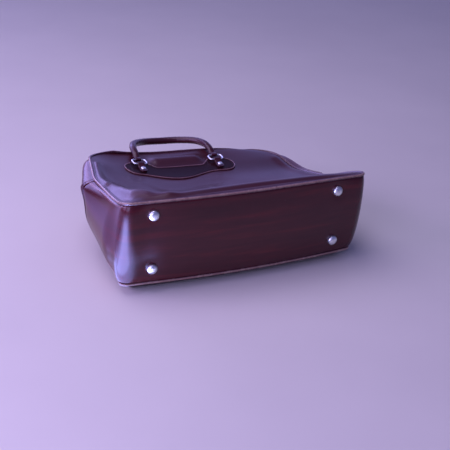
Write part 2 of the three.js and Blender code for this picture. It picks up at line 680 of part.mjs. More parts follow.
Object.entries(PANELS).forEach(([sideName, side]) => {
  addPiece(`${sideName}_handle_patch`, patch(side), VINYL);
  const frames = [-1, 1].map((sign) => mountFrame(side, PATCH.x + sign * HANDLE.spread));
  frames.forEach((frame, k) => {
    const place = `${sideName}_${k === 0 ? 'left' : 'right'}`;
    const strip = eyeStrip(-CHAPE.back, CHAPE.reach, 0, CHAPE.thickness, CHAPE.width);
    addPiece(`chape_${place}`, strip, VINYL, frame);
    addPiece(`ring_${place}`, ring(), NICKEL, frame);
    addPiece(`rivet_${place}`, rivet(), NICKEL, frame);
  });
  addPiece(`${sideName}_handle`, handle(sideName, frames), VINYL);
});

// The part's origin is under the middle of its box, on the floor.
const box = new THREE.Box3().setFromObject(bag);
const middle = box.getCenter(new THREE.Vector3());
bag.position.set(-middle.x, -middle.y, -box.min.z);

export default bag;
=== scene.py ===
"""Looks of a gym bag of glossy oxblood vinyl that lies on its back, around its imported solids.

Shapes are worked out in millimetres, in the bag's own coordinates: x along its length, y from the edge of
its bottom to its mouth, and z up from the floor. add_piece() then moves them to the frame, in metres.
"""
import math
from types import SimpleNamespace as Sizes

import bmesh
import bpy
import numpy as np
from mathutils import Matrix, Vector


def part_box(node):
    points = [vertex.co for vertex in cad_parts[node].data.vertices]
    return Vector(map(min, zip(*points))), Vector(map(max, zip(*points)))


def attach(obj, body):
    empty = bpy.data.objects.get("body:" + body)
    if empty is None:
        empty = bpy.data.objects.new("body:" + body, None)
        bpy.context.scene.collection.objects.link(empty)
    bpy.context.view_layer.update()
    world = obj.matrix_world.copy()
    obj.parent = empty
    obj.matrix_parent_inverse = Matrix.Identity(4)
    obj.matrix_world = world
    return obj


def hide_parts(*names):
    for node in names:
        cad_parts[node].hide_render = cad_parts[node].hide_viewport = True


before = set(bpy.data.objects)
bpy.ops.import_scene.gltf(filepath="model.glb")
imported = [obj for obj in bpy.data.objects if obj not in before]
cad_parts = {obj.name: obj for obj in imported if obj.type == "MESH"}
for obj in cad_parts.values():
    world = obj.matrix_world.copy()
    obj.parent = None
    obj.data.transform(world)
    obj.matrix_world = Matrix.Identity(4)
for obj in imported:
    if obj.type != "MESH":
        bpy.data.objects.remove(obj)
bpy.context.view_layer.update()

# Sizes of the bag

WALL = 2.0
HEIGHT = 300.0
PIPING_RADIUS = 2.5
SEAM = 2.9
BOTTOM_BOW = 12.0
OUTLINE = (
    dict(corner="bottom", x=210, y=0, radius=12),
    dict(corner="seam", x=208, y=168, radius=140),
    dict(corner="shoulder", x=180, y=HEIGHT, radius=60),
)
OUTLINE_STEP = 1.5
LEAN = Sizes(reach=13, start=172, end=208, fade=60, power=0.6)
FRONT_SECTIONS = dict(
    y=(0, 10, 22, 36, 52, 75, 110, 160, 205, 255, HEIGHT),
    left=(160, 157, 152.5, 148.5, 145.5, 142, 138, 133, 132, 131, 120),
    middle=(160, 162.5, 158, 147.5, 132, 117, 105, 98, 94, 98.5, 106),
    right=(156.5, 155.5, 151.5, 145.5, 138, 126, 110.5, 95, 86.5, 93, 92),
)
TILT_SHARE = 0.35
# Paths of folds, as places of x, y and rise
LEFT_ROLL = ((-178, 46, 18), (-183, 58, 18), (-190, 85, 17), (-196, 125, 11), (-198, 165, 3))
LEFT_EDGE = ((-199, 130, 4.5), (-197, 168, 4.5), (-184, 232, 4.5))
FOLDS = (
    dict(fold="beside left piping", width=8, fade=11, path=LEFT_EDGE),
    dict(fold="beside right piping", width=10, fade=16, path=((200, 130, 3), (184, 245, 3))),
    dict(fold="left roll", width=26, fade=24, path=LEFT_ROLL),
    dict(fold="end of left roll", width=16, fade=16, path=((-158, 27, 5), (-134, 18, 5))),
    dict(fold="left slope", width=26, fade=16, path=((-165, 235, 2), (-112, 130, 2))),
    dict(fold="dish", width=20, fade=16, path=((-80, 150, -2), (30, 168, -2))),
    dict(fold="behind patch", width=14, fade=16, path=((-58, 268, 6), (18, 268, 6))),
)
BACK_SECTIONS = dict(
    y=(0, 165, 190, 215, 245, HEIGHT),
    rim=(17, 17, 18, 20, 23, 25),
    inside=(0, 0, 6, 15, 19.5, 21),
)
BACK_ROLL = 22
SWELL = Sizes(bottom=4, top=8, end=20, back=0.5, front=0.8, rise=(-20, 60), fall=(150, 215))
LIP = dict(
    left=dict(out=16, power=9, low=70, high=175, at=200, reach=85, sag=-2),
    right=dict(out=26, power=20, low=20, high=160, at=190, reach=105, sag=4),
)
CORNER_RIDGE = Sizes(x=204, y=2, left=4, right=1.5, reach=20, power=5)
BACK_CORNER = Sizes(x=-210, y=0, reach=40, out=6)
BACK_DRAW = Sizes(reach=5, start=-5, end=40)
BACK_LEAN = Sizes(reach=13, side=(60, 190), rise=(40, 190))
MOUTH = Sizes(end=4, middle=16)
ZIP = Sizes(width=3.2, thickness=2.4, gap=0.3, pitch=2.1, tooth=1.3, share=0.985)
FOOT = Sizes(radius=8.8, height=6.5, across=165, rows=(0.175, 0.865), skirt=2.5, flange=0.9, sides=48)
DIMPLE = Sizes(depth=1.5, width=14)
PATCH = Sizes(x=-20, y=235, half=108, dip=37, shoulder=16, top=28, end=24, thickness=1.6)
PATCH_DIP = Sizes(at=-13, half=80)
PATCH_WAIST = Sizes(top=9, start=42, end=66)
HANDLE = Sizes(radius=6.5, end=(6, 2.4), loop=11, taper=0.14, points=180, sides=24, square=0.94)
CHAPE = Sizes(reach=15, width=13, layer=1.5, thickness=3, end=5)
RING = Sizes(wire=1.6, half_width=13, length=16, corner=5, points=96, sides=16)
RIVET = Sizes(radius=4.6, height=2.4, skirt=1.0, flange=0.5, sides=32)
EYE_HEIGHT = 4.2
HANDLE_ROUTE = dict(
    across=(1, 0.99, 0.95, 0.82, 0.5, 0),
    out=(7, 18, 40, 62, 82, 90),
    front_lift=(1, 6, 8, 6, 1, -2),
    back_height=(12.5, 9, 7, 7, 7, 7),
)
SEAT_GAP = 0.3
STITCH = Sizes(pitch=3.6, length=2.7, radius=0.42, rings=5, sides=6, narrowing=0.96)
CURVE_STEPS = 40
PLACES_AT_ONCE = 2000
X_AXIS, Y_AXIS, Z_AXIS = np.eye(3)


# Curves and tables


def smoothstep(value, low, high):
    """0 up to low, 1 from high, and 3t² - 2t³ between them."""
    t = np.clip((value - low) / (high - low), 0, 1)
    return t * t * (3 - 2 * t)


def bell(distance, width):
    """1 at no distance, falling off as exp(-(distance / width)²)."""
    return np.exp(-((distance / width) ** 2))


def unit(vectors):
    """Vectors over their own lengths."""
    return vectors / np.linalg.norm(vectors, axis=-1, keepdims=True)


def cubic(first, last, slope, far_slope, t):
    """A cubic from first to last as t runs from 0 to 1, with a slope at either end."""
    level = first + (last - first) * t * t * (3 - 2 * t)
    return level + slope * t * (1 - t) ** 2 - far_slope * t * t * (1 - t)


def section_value(table, column, y):
    """A column of a table at y: a cubic through its rows, a row's slope being that of the rows beside it."""
    rows = np.array(table["y"], float)
    values = np.array(table[column], float)
    before = np.maximum(np.arange(len(rows)) - 1, 0)
    after = np.minimum(np.arange(len(rows)) + 1, len(rows) - 1)
    slopes = (values[after] - values[before]) / (rows[after] - rows[before])
    at = np.clip(y, rows[0], rows[-1])
    k = np.clip(np.searchsorted(rows, at, side="right") - 1, 0, len(rows) - 2)
    run = rows[k + 1] - rows[k]
    return cubic(values[k], values[k + 1], run * slopes[k], run * slopes[k + 1], (at - rows[k]) / run)


def run_along(path):
    """Lengths along a line of points, from 0 at its first."""
    return np.concatenate([[0], np.cumsum(np.linalg.norm(np.diff(path, axis=0), axis=1))])


def rows_at(at, run, rows):
    """Rows at lengths along a line, worked out between the rows at its points."""
    return np.stack([np.interp(at, run, column) for column in rows.T], -1)


def ring_steps(points):
    """The way from the point before to the point after, round a closed line."""
    return np.roll(points, -1, 0) - np.roll(points, 1, 0)


def ring_normals(points):
    """Outward normals in x and y of a closed line that runs anticlockwise."""
    steps = ring_steps(points)
    return unit(np.stack([steps[:, 1], -steps[:, 0]], 1))


def bottom_bow(x):
    """How far the bottom edge bows out: a parabola over its length."""
    return BOTTOM_BOW * np.maximum(1 - (x / OUTLINE[0]["x"]) ** 2, 0)


def straight_run(start, end):
    """Even points from start up to end, without end itself."""
    steps = math.ceil(np.linalg.norm(end - start) / OUTLINE_STEP)
    return start + (end - start) * np.linspace(0, 1, steps, endpoint=False)[:, None]


def half_outline():
    """Right half of the panels' outline, from the middle of the bottom to the middle of the top.

    Straight runs lead to the corners, an arc rounds each corner, and the bottom is bowed. The marks are the
    numbers of the points where each corner's arc starts, where its middle lies and where it ends.
    """
    corners = np.array([(0, 0)] + [(row["x"], row["y"]) for row in OUTLINE] + [(0, HEIGHT)], float)
    pieces = []
    marks = {}
    start = corners[0]
    for k, row in enumerate(OUTLINE, 1):
        into = unit(corners[k] - corners[k - 1])
        away = unit(corners[k + 1] - corners[k])
        turn = math.acos(into @ away)
        cut = row["radius"] * math.tan(turn / 2)
        steps = math.ceil(row["radius"] * turn / OUTLINE_STEP)
        angle = np.linspace(0, turn, steps, endpoint=False)[:, None]
        normal = np.array([into[1], -into[0]])
        arc_start = corners[k] - into * cut
        arc = arc_start + row["radius"] * (np.cos(angle) * normal + np.sin(angle) * into - normal)
        pieces.append(straight_run(start, arc_start))
        begin = sum(map(len, pieces))
        marks[row["corner"]] = dict(start=begin, middle=begin + steps // 2, end=begin + steps)
        pieces.append(arc)
        start = corners[k] + away * cut
    pieces.append(straight_run(start, corners[-1]))
    points = np.concatenate([*pieces, corners[-1:]])
    points[:, 1] -= np.where(points[:, 1] < HEIGHT / 2, bottom_bow(points[:, 0]), 0)
    return points, marks


HALF, MARKS = half_outline()
SIDE_SPAN = slice(MARKS["bottom"]["start"], MARKS["shoulder"]["end"] + 1)
SIDE = HALF[SIDE_SPAN]
LOOP = np.concatenate([HALF, HALF[-2:0:-1] * (-1, 1)])
LOOP_OUT = ring_normals(LOOP)
LOOP_RUN = run_along(np.concatenate([LOOP, LOOP[:1]]))
LAP_AT = LOOP_RUN[MARKS["seam"]["middle"]]
MOUTH_END = HALF[MARKS["shoulder"]["end"], 0]


def loop_at(run):
    """Places on the outline at lengths along it, with the outward normal of each: x, y, nx, ny."""
    columns = np.concatenate([LOOP, LOOP_OUT], 1)
    closed = np.concatenate([columns, columns[:1]])
    place = np.mod(run, LOOP_RUN[-1])
    return [np.interp(place, LOOP_RUN, column) for column in closed.T]


def half_width(y):
    """Half the outline's width at y."""
    return np.interp(y, SIDE[:, 1], SIDE[:, 0])


def rim_distance(x, y):
    """Distance to the outline: the least over its points, every OUTLINE_STEP along it."""
    places = np.stack([x.ravel(), y.ravel()], 1)
    chunks = np.array_split(places, 1 + len(places) // PLACES_AT_ONCE)
    nearest = [np.sqrt(((chunk[:, None] - LOOP) ** 2).sum(2).min(1)) for chunk in chunks]
    return np.concatenate(nearest).reshape(x.shape)


def fold_rise(fold, x, y, rim):
    """A fold's rise: a bell across its path, of the nearest place's rise, faded out towards the rim."""
    away, rise = [], []
    for (x0, y0, rise0), (x1, y1, rise1) in zip(fold["path"], fold["path"][1:]):
        along = np.array((x1 - x0, y1 - y0))
        t = np.clip(((x - x0) * along[0] + (y - y0) * along[1]) / (along @ along), 0, 1)
        away.append(np.hypot(x - x0 - t * along[0], y - y0 - t * along[1]))
        rise.append(rise0 + t * (rise1 - rise0))
    nearest = np.argmin(away, axis=0)[None]
    away, rise = (np.take_along_axis(np.stack(rows), nearest, 0)[0] for rows in (away, rise))
    return rise * bell(away, fold["width"]) * smoothstep(rim, 0, fold["fade"])


def front_height(x, y, rim):
    """Middle of the front panel's wall, rim being the distance to the outline.

    Across the bag it runs from the left to the right edge as a tilt, partly straight and partly cubic, plus
    an even rise towards both edges, and the folds.
    """
    left, middle, right = (section_value(FRONT_SECTIONS, column, y) for column in ("left", "middle", "right"))
    across = np.clip(x / half_width(y), -1, 1)
    tilt = (right - left) / 2 * across * (TILT_SHARE + (1 - TILT_SHARE) * across**2)
    rise = ((left + right) / 2 - middle) * np.abs(across) ** 3
    return middle + tilt + rise + sum(fold_rise(fold, x, y, rim) for fold in FOLDS)


def back_height(x, y, rim):
    """Middle of the back panel's wall, alike at every x: the piping's height, rolling down inside the rim."""
    edge = section_value(BACK_SECTIONS, "rim", y)
    inside = np.maximum(section_value(BACK_SECTIONS, "inside", y), 0) + WALL / 2
    return edge + (inside - edge) * smoothstep(rim, 0, BACK_ROLL)


def front_shift(x, y):
    """How far the front edge moves along x: it leans outwards, at the lower right corner alone."""
    return LEAN.reach * smoothstep(x, LEAN.start, LEAN.end) * bell(y, LEAN.fade)


def back_shift(x, y):
    """How far the back edge moves along x: in at both ends, most up the left, and out at its lower left."""
    ends = -x / OUTLINE[0]["x"] * BACK_DRAW.reach * smoothstep(y, BACK_DRAW.start, BACK_DRAW.end)
    corner = bell(np.hypot(x - BACK_CORNER.x, y - BACK_CORNER.y), BACK_CORNER.reach)
    draw = BACK_LEAN.reach * smoothstep(-x, *BACK_LEAN.side) * smoothstep(y, *BACK_LEAN.rise)
    return ends - BACK_CORNER.out * corner + draw


def smooth_path(points, count):
    """A centripetal curve through points, at even lengths: cubics timed by the square root of each span."""
    spots = np.array(points, float)
    spots = np.concatenate([[2 * spots[0] - spots[1]], spots, [2 * spots[-1] - spots[-2]]])
    spans = np.sqrt(np.linalg.norm(np.diff(spots, axis=0), axis=1))[:, None]
    slope = np.diff(spots, axis=0) / spans
    wide = (spots[2:] - spots[:-2]) / (spans[:-1] + spans[1:])
    tangent = slope[:-1] - wide + slope[1:]
    t = np.linspace(0, 1, CURVE_STEPS, endpoint=False)[:, None, None]
    span = spans[1:-1]
    dense = cubic(spots[1:-2], spots[2:-1], span * tangent[:-1], span * tangent[1:], t)
    dense = np.concatenate([dense.transpose(1, 0, 2).reshape(-1, 3), spots[-2:-1]])
    run = run_along(dense)
    return rows_at(np.linspace(0, run[-1], count), run, dense)


def edge_shares(count, crowding=0.85):
    """Shares from 0 to 1 that crowd at both ends: t less a sine of one turn."""
    t = np.linspace(0, 1, count)
    return t - crowding * np.sin(2 * np.pi * t) / (2 * np.pi)


# Grids to closed meshes

OFF_AXIS = (0.3, 0.1, 0.9)


def grid_quads(count, across, wrap=False, wrap_across=False):
    """Corner numbers of the cells of a grid of lines of points, joined last to first where it wraps."""
    line = np.arange(count if wrap else count - 1)[:, None]
    spot = np.arange(across if wrap_across else across - 1)
    near, far = line * across, (line + 1) % count * across
    next_spot = (spot + 1) % across
    return np.stack([near + spot, far + spot, far + next_spot, near + next_spot], -1).reshape(-1, 4)


def faced_out(points, quads):
    """The faces turned so that the volume they enclose is positive."""
    a, b, c, d = (points[quads[:, k]] for k in range(4))
    volume = (np.cross(b, c) * a).sum() + (np.cross(c, d) * a).sum()
    return quads if volume > 0 else quads[:, ::-1]


def wall(outer, inner, keep=None, uv=None):
    """A closed wall between two like grids: their cells, and a strip along each edge with one cell only."""
    count, across = outer.shape[:2]
    cells = grid_quads(count, across)
    if keep is not None:
        cells = cells[keep.ravel()]
    total = count * across
    edges = np.concatenate([cells[:, [k, (k + 1) % 4]] for k in range(4)])
    lone = ~np.isin(edges[:, 1] * total + edges[:, 0], edges[:, 0] * total + edges[:, 1])
    rim = edges[lone]
    strips = np.stack([rim[:, 1], rim[:, 0], rim[:, 0] + total, rim[:, 1] + total], 1)
    points = np.concatenate([outer.reshape(-1, 3), inner.reshape(-1, 3)])
    quads = faced_out(points, np.concatenate([cells, cells[:, ::-1] + total, strips]))
    both = None if uv is None else np.concatenate([uv.reshape(-1, 2)] * 2)
    return dict(points=points, quads=quads, uv=both)


def rings(lines, wrap=False):
    """Rings of points as one shape, with the last ring joined to the first where it wraps."""
    points = lines.reshape(-1, 3)
    quads = grid_quads(*lines.shape[:2], wrap=wrap, wrap_across=True)
    return dict(points=points, quads=faced_out(points, quads))


def sweep(path, across, up, section, closed=False):
    """A section carried along a path: each place plus the section's two measures along two directions.

    An open sweep is closed by drawing a last ring together at each end.
    """
    across, up = (np.broadcast_to(direction, path.shape)[:, None] for direction in (across, up))
    lines = path[:, None] + section[..., 0, None] * across + section[..., 1, None] * up
    if not closed:
        ends = [np.repeat(lines[k].mean(0)[None, None], lines.shape[1], 1) for k in (0, -1)]
        lines = np.concatenate([ends[0], lines, ends[1]])
    return rings(lines, closed)


def ring_angles(sides):
    """Angles of the points round an oval, half a step past each side's start."""
    return (np.arange(sides) + 0.5) / sides * 2 * np.pi


def oval(half_across, half_up, sides, square=1.0):
    """Points round an oval: cos and sin of the angle to a power, times the half sizes. Under 1 is squarer."""
    cos, sin = np.cos(ring_angles(sides)), np.sin(ring_angles(sides))
    round_cos = np.sign(cos) * np.abs(cos) ** square
    round_sin = np.sign(sin) * np.abs(sin) ** square
    shape = [np.multiply.outer(half_across, round_cos), np.multiply.outer(half_up, round_sin)]
    return np.stack(np.broadcast_arrays(*shape), -1)


def path_frame(path, up_hint, closed=False):
    """Across and up along a path: across is square to it and the hint, and up to it and across."""
    along = unit(ring_steps(path) if closed else np.gradient(path, axis=0))
    across = unit(np.cross(along, up_hint))
    return across, np.cross(across, along)


def turned(profile, seat, axis, sides):
    """A profile of radius and height turned round an axis that rises from a seat."""
    side = unit(np.cross(axis, OFF_AXIS))
    far = np.cross(axis, side)
    angle = np.arange(sides) / sides * 2 * np.pi
    spokes = np.cos(angle)[:, None] * side + np.sin(angle)[:, None] * far
    radius, height = np.array(profile, float).T
    return rings(seat + height[:, None, None] * axis + radius[:, None, None] * spokes)


def joined(*shapes):
    """Shapes as one: their points in a row, and each one's faces moved on past the points before it."""
    starts = np.cumsum([0] + [len(shape["points"]) for shape in shapes])
    quads = [shape["quads"] + start for shape, start in zip(shapes, starts)]
    return dict(points=np.concatenate([shape["points"] for shape in shapes]), quads=np.concatenate(quads))


def scattered(shape, places, axes):
    """Copies of a small shape, one at each place, turned to the three axes there."""
    copies = places[:, None] + np.einsum("pk,nkc->npc", shape["points"], axes)
    starts = np.arange(len(places))[:, None, None] * len(shape["points"])
    quads = (shape["quads"] + starts).reshape(-1, 4)
    return dict(points=copies.reshape(-1, 3), quads=quads)


def spindle():
    """One stitch along x: rings of an oval that narrow to both ends."""
    along = np.linspace(-1, 1, STITCH.rings)
    radius = STITCH.radius * np.sqrt(1 - (STITCH.narrowing * along) ** 2)
    path = np.outer(along * STITCH.length / 2, X_AXIS)
    return sweep(path, Y_AXIS, Z_AXIS, oval(radius, radius, STITCH.sides))


def stitch_row(path, out):
    """Stitches at an even pitch along a path, each lying along it with its third axis out of the surface."""
    run = run_along(path)
    at = np.arange(STITCH.pitch / 2, run[-1], STITCH.pitch)
    outward = unit(rows_at(at, run, np.broadcast_to(out, path.shape)))
    along = unit(rows_at(at + 0.5, run, path) - rows_at(at - 0.5, run, path))
    axes = np.stack([along, np.cross(outward, along), outward], 1)
    return scattered(spindle(), rows_at(at, run, path), axes)


def frame_shift():
    """From the bag's coordinates to the frame's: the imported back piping's middle, less that of its line."""
    low, high = (np.array(corner) * 1000 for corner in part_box("back_piping"))
    line = np.stack([LOOP[:, 0] + back_shift(LOOP[:, 0], LOOP[:, 1]), LOOP[:, 1]], 1)
    packed, own = (low + high) / 2, (line.min(0) + line.max(0)) / 2
    return np.array([packed[0] - own[0], packed[1] - own[1], 0])


SHIFT = frame_shift()


def new_object(name, data):
    """An object around a mesh, a light or a camera, linked to the scene."""
    made = bpy.data.objects.new(name, data)
    bpy.context.scene.collection.objects.link(made)
    return made


def add_piece(name, shape, material, node=None, weld=False, sharp=50):
    """A mesh piece in the frame, in metres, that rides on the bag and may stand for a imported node."""
    mesh = bpy.data.meshes.new(name)
    mesh.from_pydata((shape["points"] + SHIFT) / 1000, [], shape["quads"])
    if shape.get("uv") is not None:
        corner = np.empty(len(mesh.loops), int)
        mesh.loops.foreach_get("vertex_index", corner)
        places = shape["uv"][corner].astype(np.float32)
        mesh.uv_layers.new(name="strip").data.foreach_set("uv", places.ravel())
    if shape.get("wear") is not None:
        wear = mesh.attributes.new("wear", "FLOAT", "POINT")
        wear.data.foreach_set("value", shape["wear"].astype(np.float32))
    if weld:
        work = bmesh.new()
        work.from_mesh(mesh)
        bmesh.ops.remove_doubles(work, verts=work.verts, dist=1e-6)
        work.to_mesh(mesh)
        work.free()
    mesh.shade_smooth()
    mesh.set_sharp_from_angle(angle=math.radians(sharp))
    mesh.materials.append(material)
    piece = new_object(name, mesh)
    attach(piece, "root")
    if node:
        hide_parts(node)


# Materials

BLACK, GREY, WHITE = ((level, level, level) for level in (0, 0.5, 1))
SCUFF_COLOUR = (0.3, 0.19, 0.2, 1)
# Pale tan where the wear attribute is set: rubbed wear and painted highlight on the welt, and painted
# highlight all along the patch bead.
RUBBED_AND_SHEEN_COLOUR = (0.3, 0.16, 0.15, 1)


def new_material(name):
    """A material, with its node tree and its shader."""
    material = bpy.data.materials.new(name)
    material.use_nodes = True
    return material, material.node_tree, material.node_tree.nodes["Principled BSDF"]


def feed(tree, made, settings):
    """Settings of a shader node. Each names an input, which gets a value or a link, or else a property."""
    for key, value in settings.items():
        if key not in made.inputs:
            setattr(made, key, value)
        elif isinstance(value, bpy.types.NodeSocket):
            tree.links.new(value, made.inputs[key])
        else:
            made.inputs[key].default_value = value


def node(tree, kind, **settings):
    """A shader node of a kind, with its settings."""
    made = tree.nodes.new("ShaderNode" + kind)
    feed(tree, made, settings)
    return made


def ramp(tree, factor, *stops):
    """A colour ramp on a factor, through stops of place and colour."""
    made = node(tree, "ValToRGB", Fac=factor)
    elements = made.color_ramp.elements
    while len(elements) < len(stops):
        elements.new(0.5)
    for element, (place, colour) in zip(elements, stops):
        element.position = place
        element.color = (*colour, 1)
    return made.outputs["Color"]


def noise(tree, vector, scale, detail=4.0, roughness=0.55, distortion=0.0):
    """Noise over places, as a value about one half."""
    settings = dict(Scale=scale, Detail=detail, Roughness=roughness, Distortion=distortion)
    return node(tree, "TexNoise", Vector=vector, **settings).outputs["Fac"]


def between(tree, value, low, high):
    """A value from 0 to 1 spread from low to high."""
    return node(tree, "MapRange", Value=value, **{"To Min": low, "To Max": high}).outputs["Result"]


def combined(tree, operation, first, second):
    """Two values put together by an operation."""
    made = node(tree, "Math", operation=operation)
    tree.links.new(first, made.inputs[0])
    tree.links.new(second, made.inputs[1])
    return made.outputs[0]


def mixed(tree, factor, first, second, blend="MIX"):
    """Two colours mixed by a factor."""
    return node(tree, "MixRGB", blend_type=blend, Fac=factor, Color1=first, Color2=second).outputs["Color"]


def bump(tree, height, strength, distance, **under):
    """The normal of a surface with a height on it, over another normal where one is given."""
    return node(tree, "Bump", Height=height, Strength=strength, Distance=distance, **under).outputs["Normal"]


def wear_and_sheen_mask(tree, uneven, low, high):
    """The wear attribute times an uneven value spread from low to high: real wear on the piping, painted
    highlight on the patch bead, and both on the welt.
    """
    wear = node(tree, "Attribute", attribute_name="wear").outputs["Fac"]
    return combined(tree, "MULTIPLY", wear, between(tree, uneven, low, high))


def stretched(tree, vector, scale):
    """A place times a scale along each axis."""
    return node(tree, "Mapping", Vector=vector, Scale=scale).outputs["Vector"]


def object_place(tree):
    """The place on the piece, in metres."""
    return node(tree, "TexCoord").outputs["Object"]


def strip_place(tree):
    """The place along and across the gusset's strip, in metres."""
    return node(tree, "UVMap", uv_map="strip").outputs["UV"]


def vinyl(name, place_of, streaks, colours, roughness, specular):
    """Glossy vinyl: streaks of three reds, pale scuffs, an uneven gloss, and a fine grain over soft waves."""
    material, tree, bsdf = new_material(name)
    place = place_of(tree)
    streak = noise(tree, stretched(tree, place, streaks), 1.0, detail=6, roughness=0.6, distortion=0.3)
    body = ramp(tree, streak, *zip((0.3, 0.52, 0.74), colours))
    speck = noise(tree, place, 330, detail=2, roughness=0.5)
    scuff = ramp(tree, speck, (0.735, BLACK), (0.775, WHITE))
    patchy = ramp(tree, noise(tree, place, 21, detail=3), (0.5, BLACK), (0.68, GREY))
    scuffed = mixed(tree, mixed(tree, 1.0, scuff, patchy, "MULTIPLY"), body, SCUFF_COLOUR)
    # Where the wear attribute is set the vinyl turns pale tan: rubbed wear with a painted highlight on the
    # welt, and a painted highlight all along the patch bead.
    wear = wear_and_sheen_mask(tree, noise(tree, object_place(tree), 60), 0.1, 1.3)
    gloss = noise(tree, stretched(tree, place, [s * 0.7 for s in streaks]), 1.3, detail=5)
    waves = bump(tree, noise(tree, place, 34, detail=3), 0.16, 0.0016)
    grain = node(tree, "TexVoronoi", Vector=place, Scale=620, feature="SMOOTH_F1").outputs["Distance"]
    feed(tree, bsdf, {
        "Base Color": mixed(tree, wear, scuffed, RUBBED_AND_SHEEN_COLOUR),
        "Roughness": between(tree, gloss, *roughness),
        "Normal": bump(tree, grain, 0.05, 0.0004, Normal=waves),
        "Specular IOR Level": specular,
        "Coat Weight": 0.12,
        "Coat Roughness": 0.18,
    })
    return material


def worn_piping():
    """Piping: oxblood vinyl whose ridge, by the wear attribute, is rubbed to a tan in uneven patches."""
    material, tree, bsdf = new_material("worn_piping_vinyl")
    place = object_place(tree)
    uneven = noise(tree, place, 42, detail=5, roughness=0.65)
    fleck = noise(tree, place, 260, detail=3)
    broken = combined(tree, "ADD", wear_and_sheen_mask(tree, uneven, 0.35, 1.35), between(tree, fleck, -0.22, 0.22))
    stops = ((0.12, (0.06, 0.013, 0.02)), (0.5, (0.185, 0.092, 0.08)), (0.95, (0.33, 0.22, 0.165)))
    feed(tree, bsdf, {
        "Base Color": ramp(tree, broken, *stops),
        "Roughness": between(tree, uneven, 0.18, 0.36),
        "Normal": bump(tree, fleck, 0.15, 0.0004),
        "Specular IOR Level": 0.8,
    })
    return material


def metal(name, bright, dull, roughness):
    """Plated metal: bright, with dull clouds and a gloss that wavers with them."""
    material, tree, bsdf = new_material(name)
    place = object_place(tree)
    cloud = noise(tree, place, 160, detail=5, roughness=0.6)
    scratch = noise(tree, stretched(tree, place, (900, 240, 500)), 1.0, detail=2)
    feed(tree, bsdf, {
        "Base Color": ramp(tree, cloud, (0.38, dull), (0.6, bright)),
        "Roughness": between(tree, cloud, roughness[1], roughness[0]),
        "Normal": bump(tree, scratch, 0.06, 0.0002),
        "Metallic": 1.0,
    })
    return material


def woven(name, dark, light):
    """Woven thread or tape: two waves that cross, and a colour that wavers."""
    material, tree, bsdf = new_material(name)
    yarn = dict(Vector=object_place(tree), Scale=420.0, Distortion=0.6)
    warp, weft = (node(tree, "TexWave", bands_direction=way, **yarn).outputs["Fac"] for way in ("X", "Z"))
    weave = mixed(tree, 1.0, warp, weft, "MULTIPLY")
    feed(tree, bsdf, {
        "Base Color": ramp(tree, weave, (0.1, dark), (0.8, light)),
        "Normal": bump(tree, weave, 0.4, 0.0004),
        "Roughness": 0.8,
    })
    return material


OXBLOOD = ((0.042, 0.0044, 0.0085), (0.063, 0.006, 0.0105), (0.135, 0.0095, 0.013))
DEEP_OXBLOOD = ((0.038, 0.0042, 0.0085), (0.047, 0.005, 0.01), (0.06, 0.0065, 0.0115))
# Much darker than the panel's reds: painted shade, standing for the handles' shadow on the patch.
SHADED_OXBLOOD = ((0.013, 0.0022, 0.004), (0.017, 0.0026, 0.0046), (0.022, 0.0032, 0.0054))
panel_vinyl = vinyl("panel_vinyl", object_place, (9, 11, 11), DEEP_OXBLOOD, (0.27, 0.41), 0.5)
gusset_vinyl = vinyl("gusset_vinyl", strip_place, (4, 48, 1), OXBLOOD, (0.2, 0.3), 0.42)
# The patch sheet's vinyl: painted shade in its colour, darker than the panel around it.
shaded_patch_vinyl = vinyl("shaded_patch_vinyl", object_place, (14, 14, 14), SHADED_OXBLOOD, (0.36, 0.5), 0.06)
strap_vinyl = vinyl("strap_vinyl", object_place, (30, 30, 30), DEEP_OXBLOOD, (0.22, 0.36), 0.5)
piping_vinyl = worn_piping()
nickel = metal("nickel_plate", (0.92, 0.98, 0.94), (0.8, 0.86, 0.82), (0.3, 0.44))
zip_brass = metal("zip_brass", (0.62, 0.5, 0.3), (0.36, 0.28, 0.17), (0.28, 0.45))
thread = woven("sewing_thread", (0.03, 0.007, 0.01), (0.09, 0.024, 0.03))
tape_cloth = woven("zip_tape_cloth", (0.02, 0.006, 0.01), (0.07, 0.018, 0.025))


def add_stitches(name, *rows):
    """Rows of sewing thread, each a path and the way out of the surface along it."""
    shape = joined(*[stitch_row(path, out) for path, out in rows])
    add_piece(f"{name}_stitches", shape, thread, weld=True)


# Panels

PANEL_GRID = Sizes(columns=150, column_crowding=0.75, rows=130, row_crowding=0.8, bowed=90)
TUCK = Sizes(inset=1.2, depth=1.7, width=2.4)
# The welt's wear level paints it pale tan: rubbed wear, and a painted highlight along the welt.
WELT = Sizes(at=5.2, rise=0.6, width=0.9, wear=0.8, power=8)
GROOVE = Sizes(at=6.2, depth=0.35, width=1.0)
WAVES_START = (4, 30)


def panel_places():
    """A grid over the outline, drawn in under the piping: its rows follow the bow and end on the sides."""
    side = (LOOP - LOOP_OUT * TUCK.inset)[SIDE_SPAN]
    low, high = side[0, 1], side[-1, 1]
    level = low + (high - low) * edge_shares(PANEL_GRID.rows, PANEL_GRID.row_crowding)[:, None]
    across = 2 * edge_shares(PANEL_GRID.columns, PANEL_GRID.column_crowding) - 1
    x = np.interp(level, side[:, 1], side[:, 0]) * across
    bowed = 1 - smoothstep(level, low, low + PANEL_GRID.bowed)
    y = level - bowed * (bottom_bow(x) - bottom_bow(side[0, 0]))
    return x, y


def panel_waves(x, y):
    """The unevenness of soft vinyl: slow sines across one another, under half a millimetre high."""
    first = np.sin(x / 19 + 0.6 * np.sin(y / 23)) * np.sin(y / 16 + 0.8)
    second = np.sin((x + 0.7 * y) / 31 + 1.9)
    return 0.18 * first + 0.2 * second


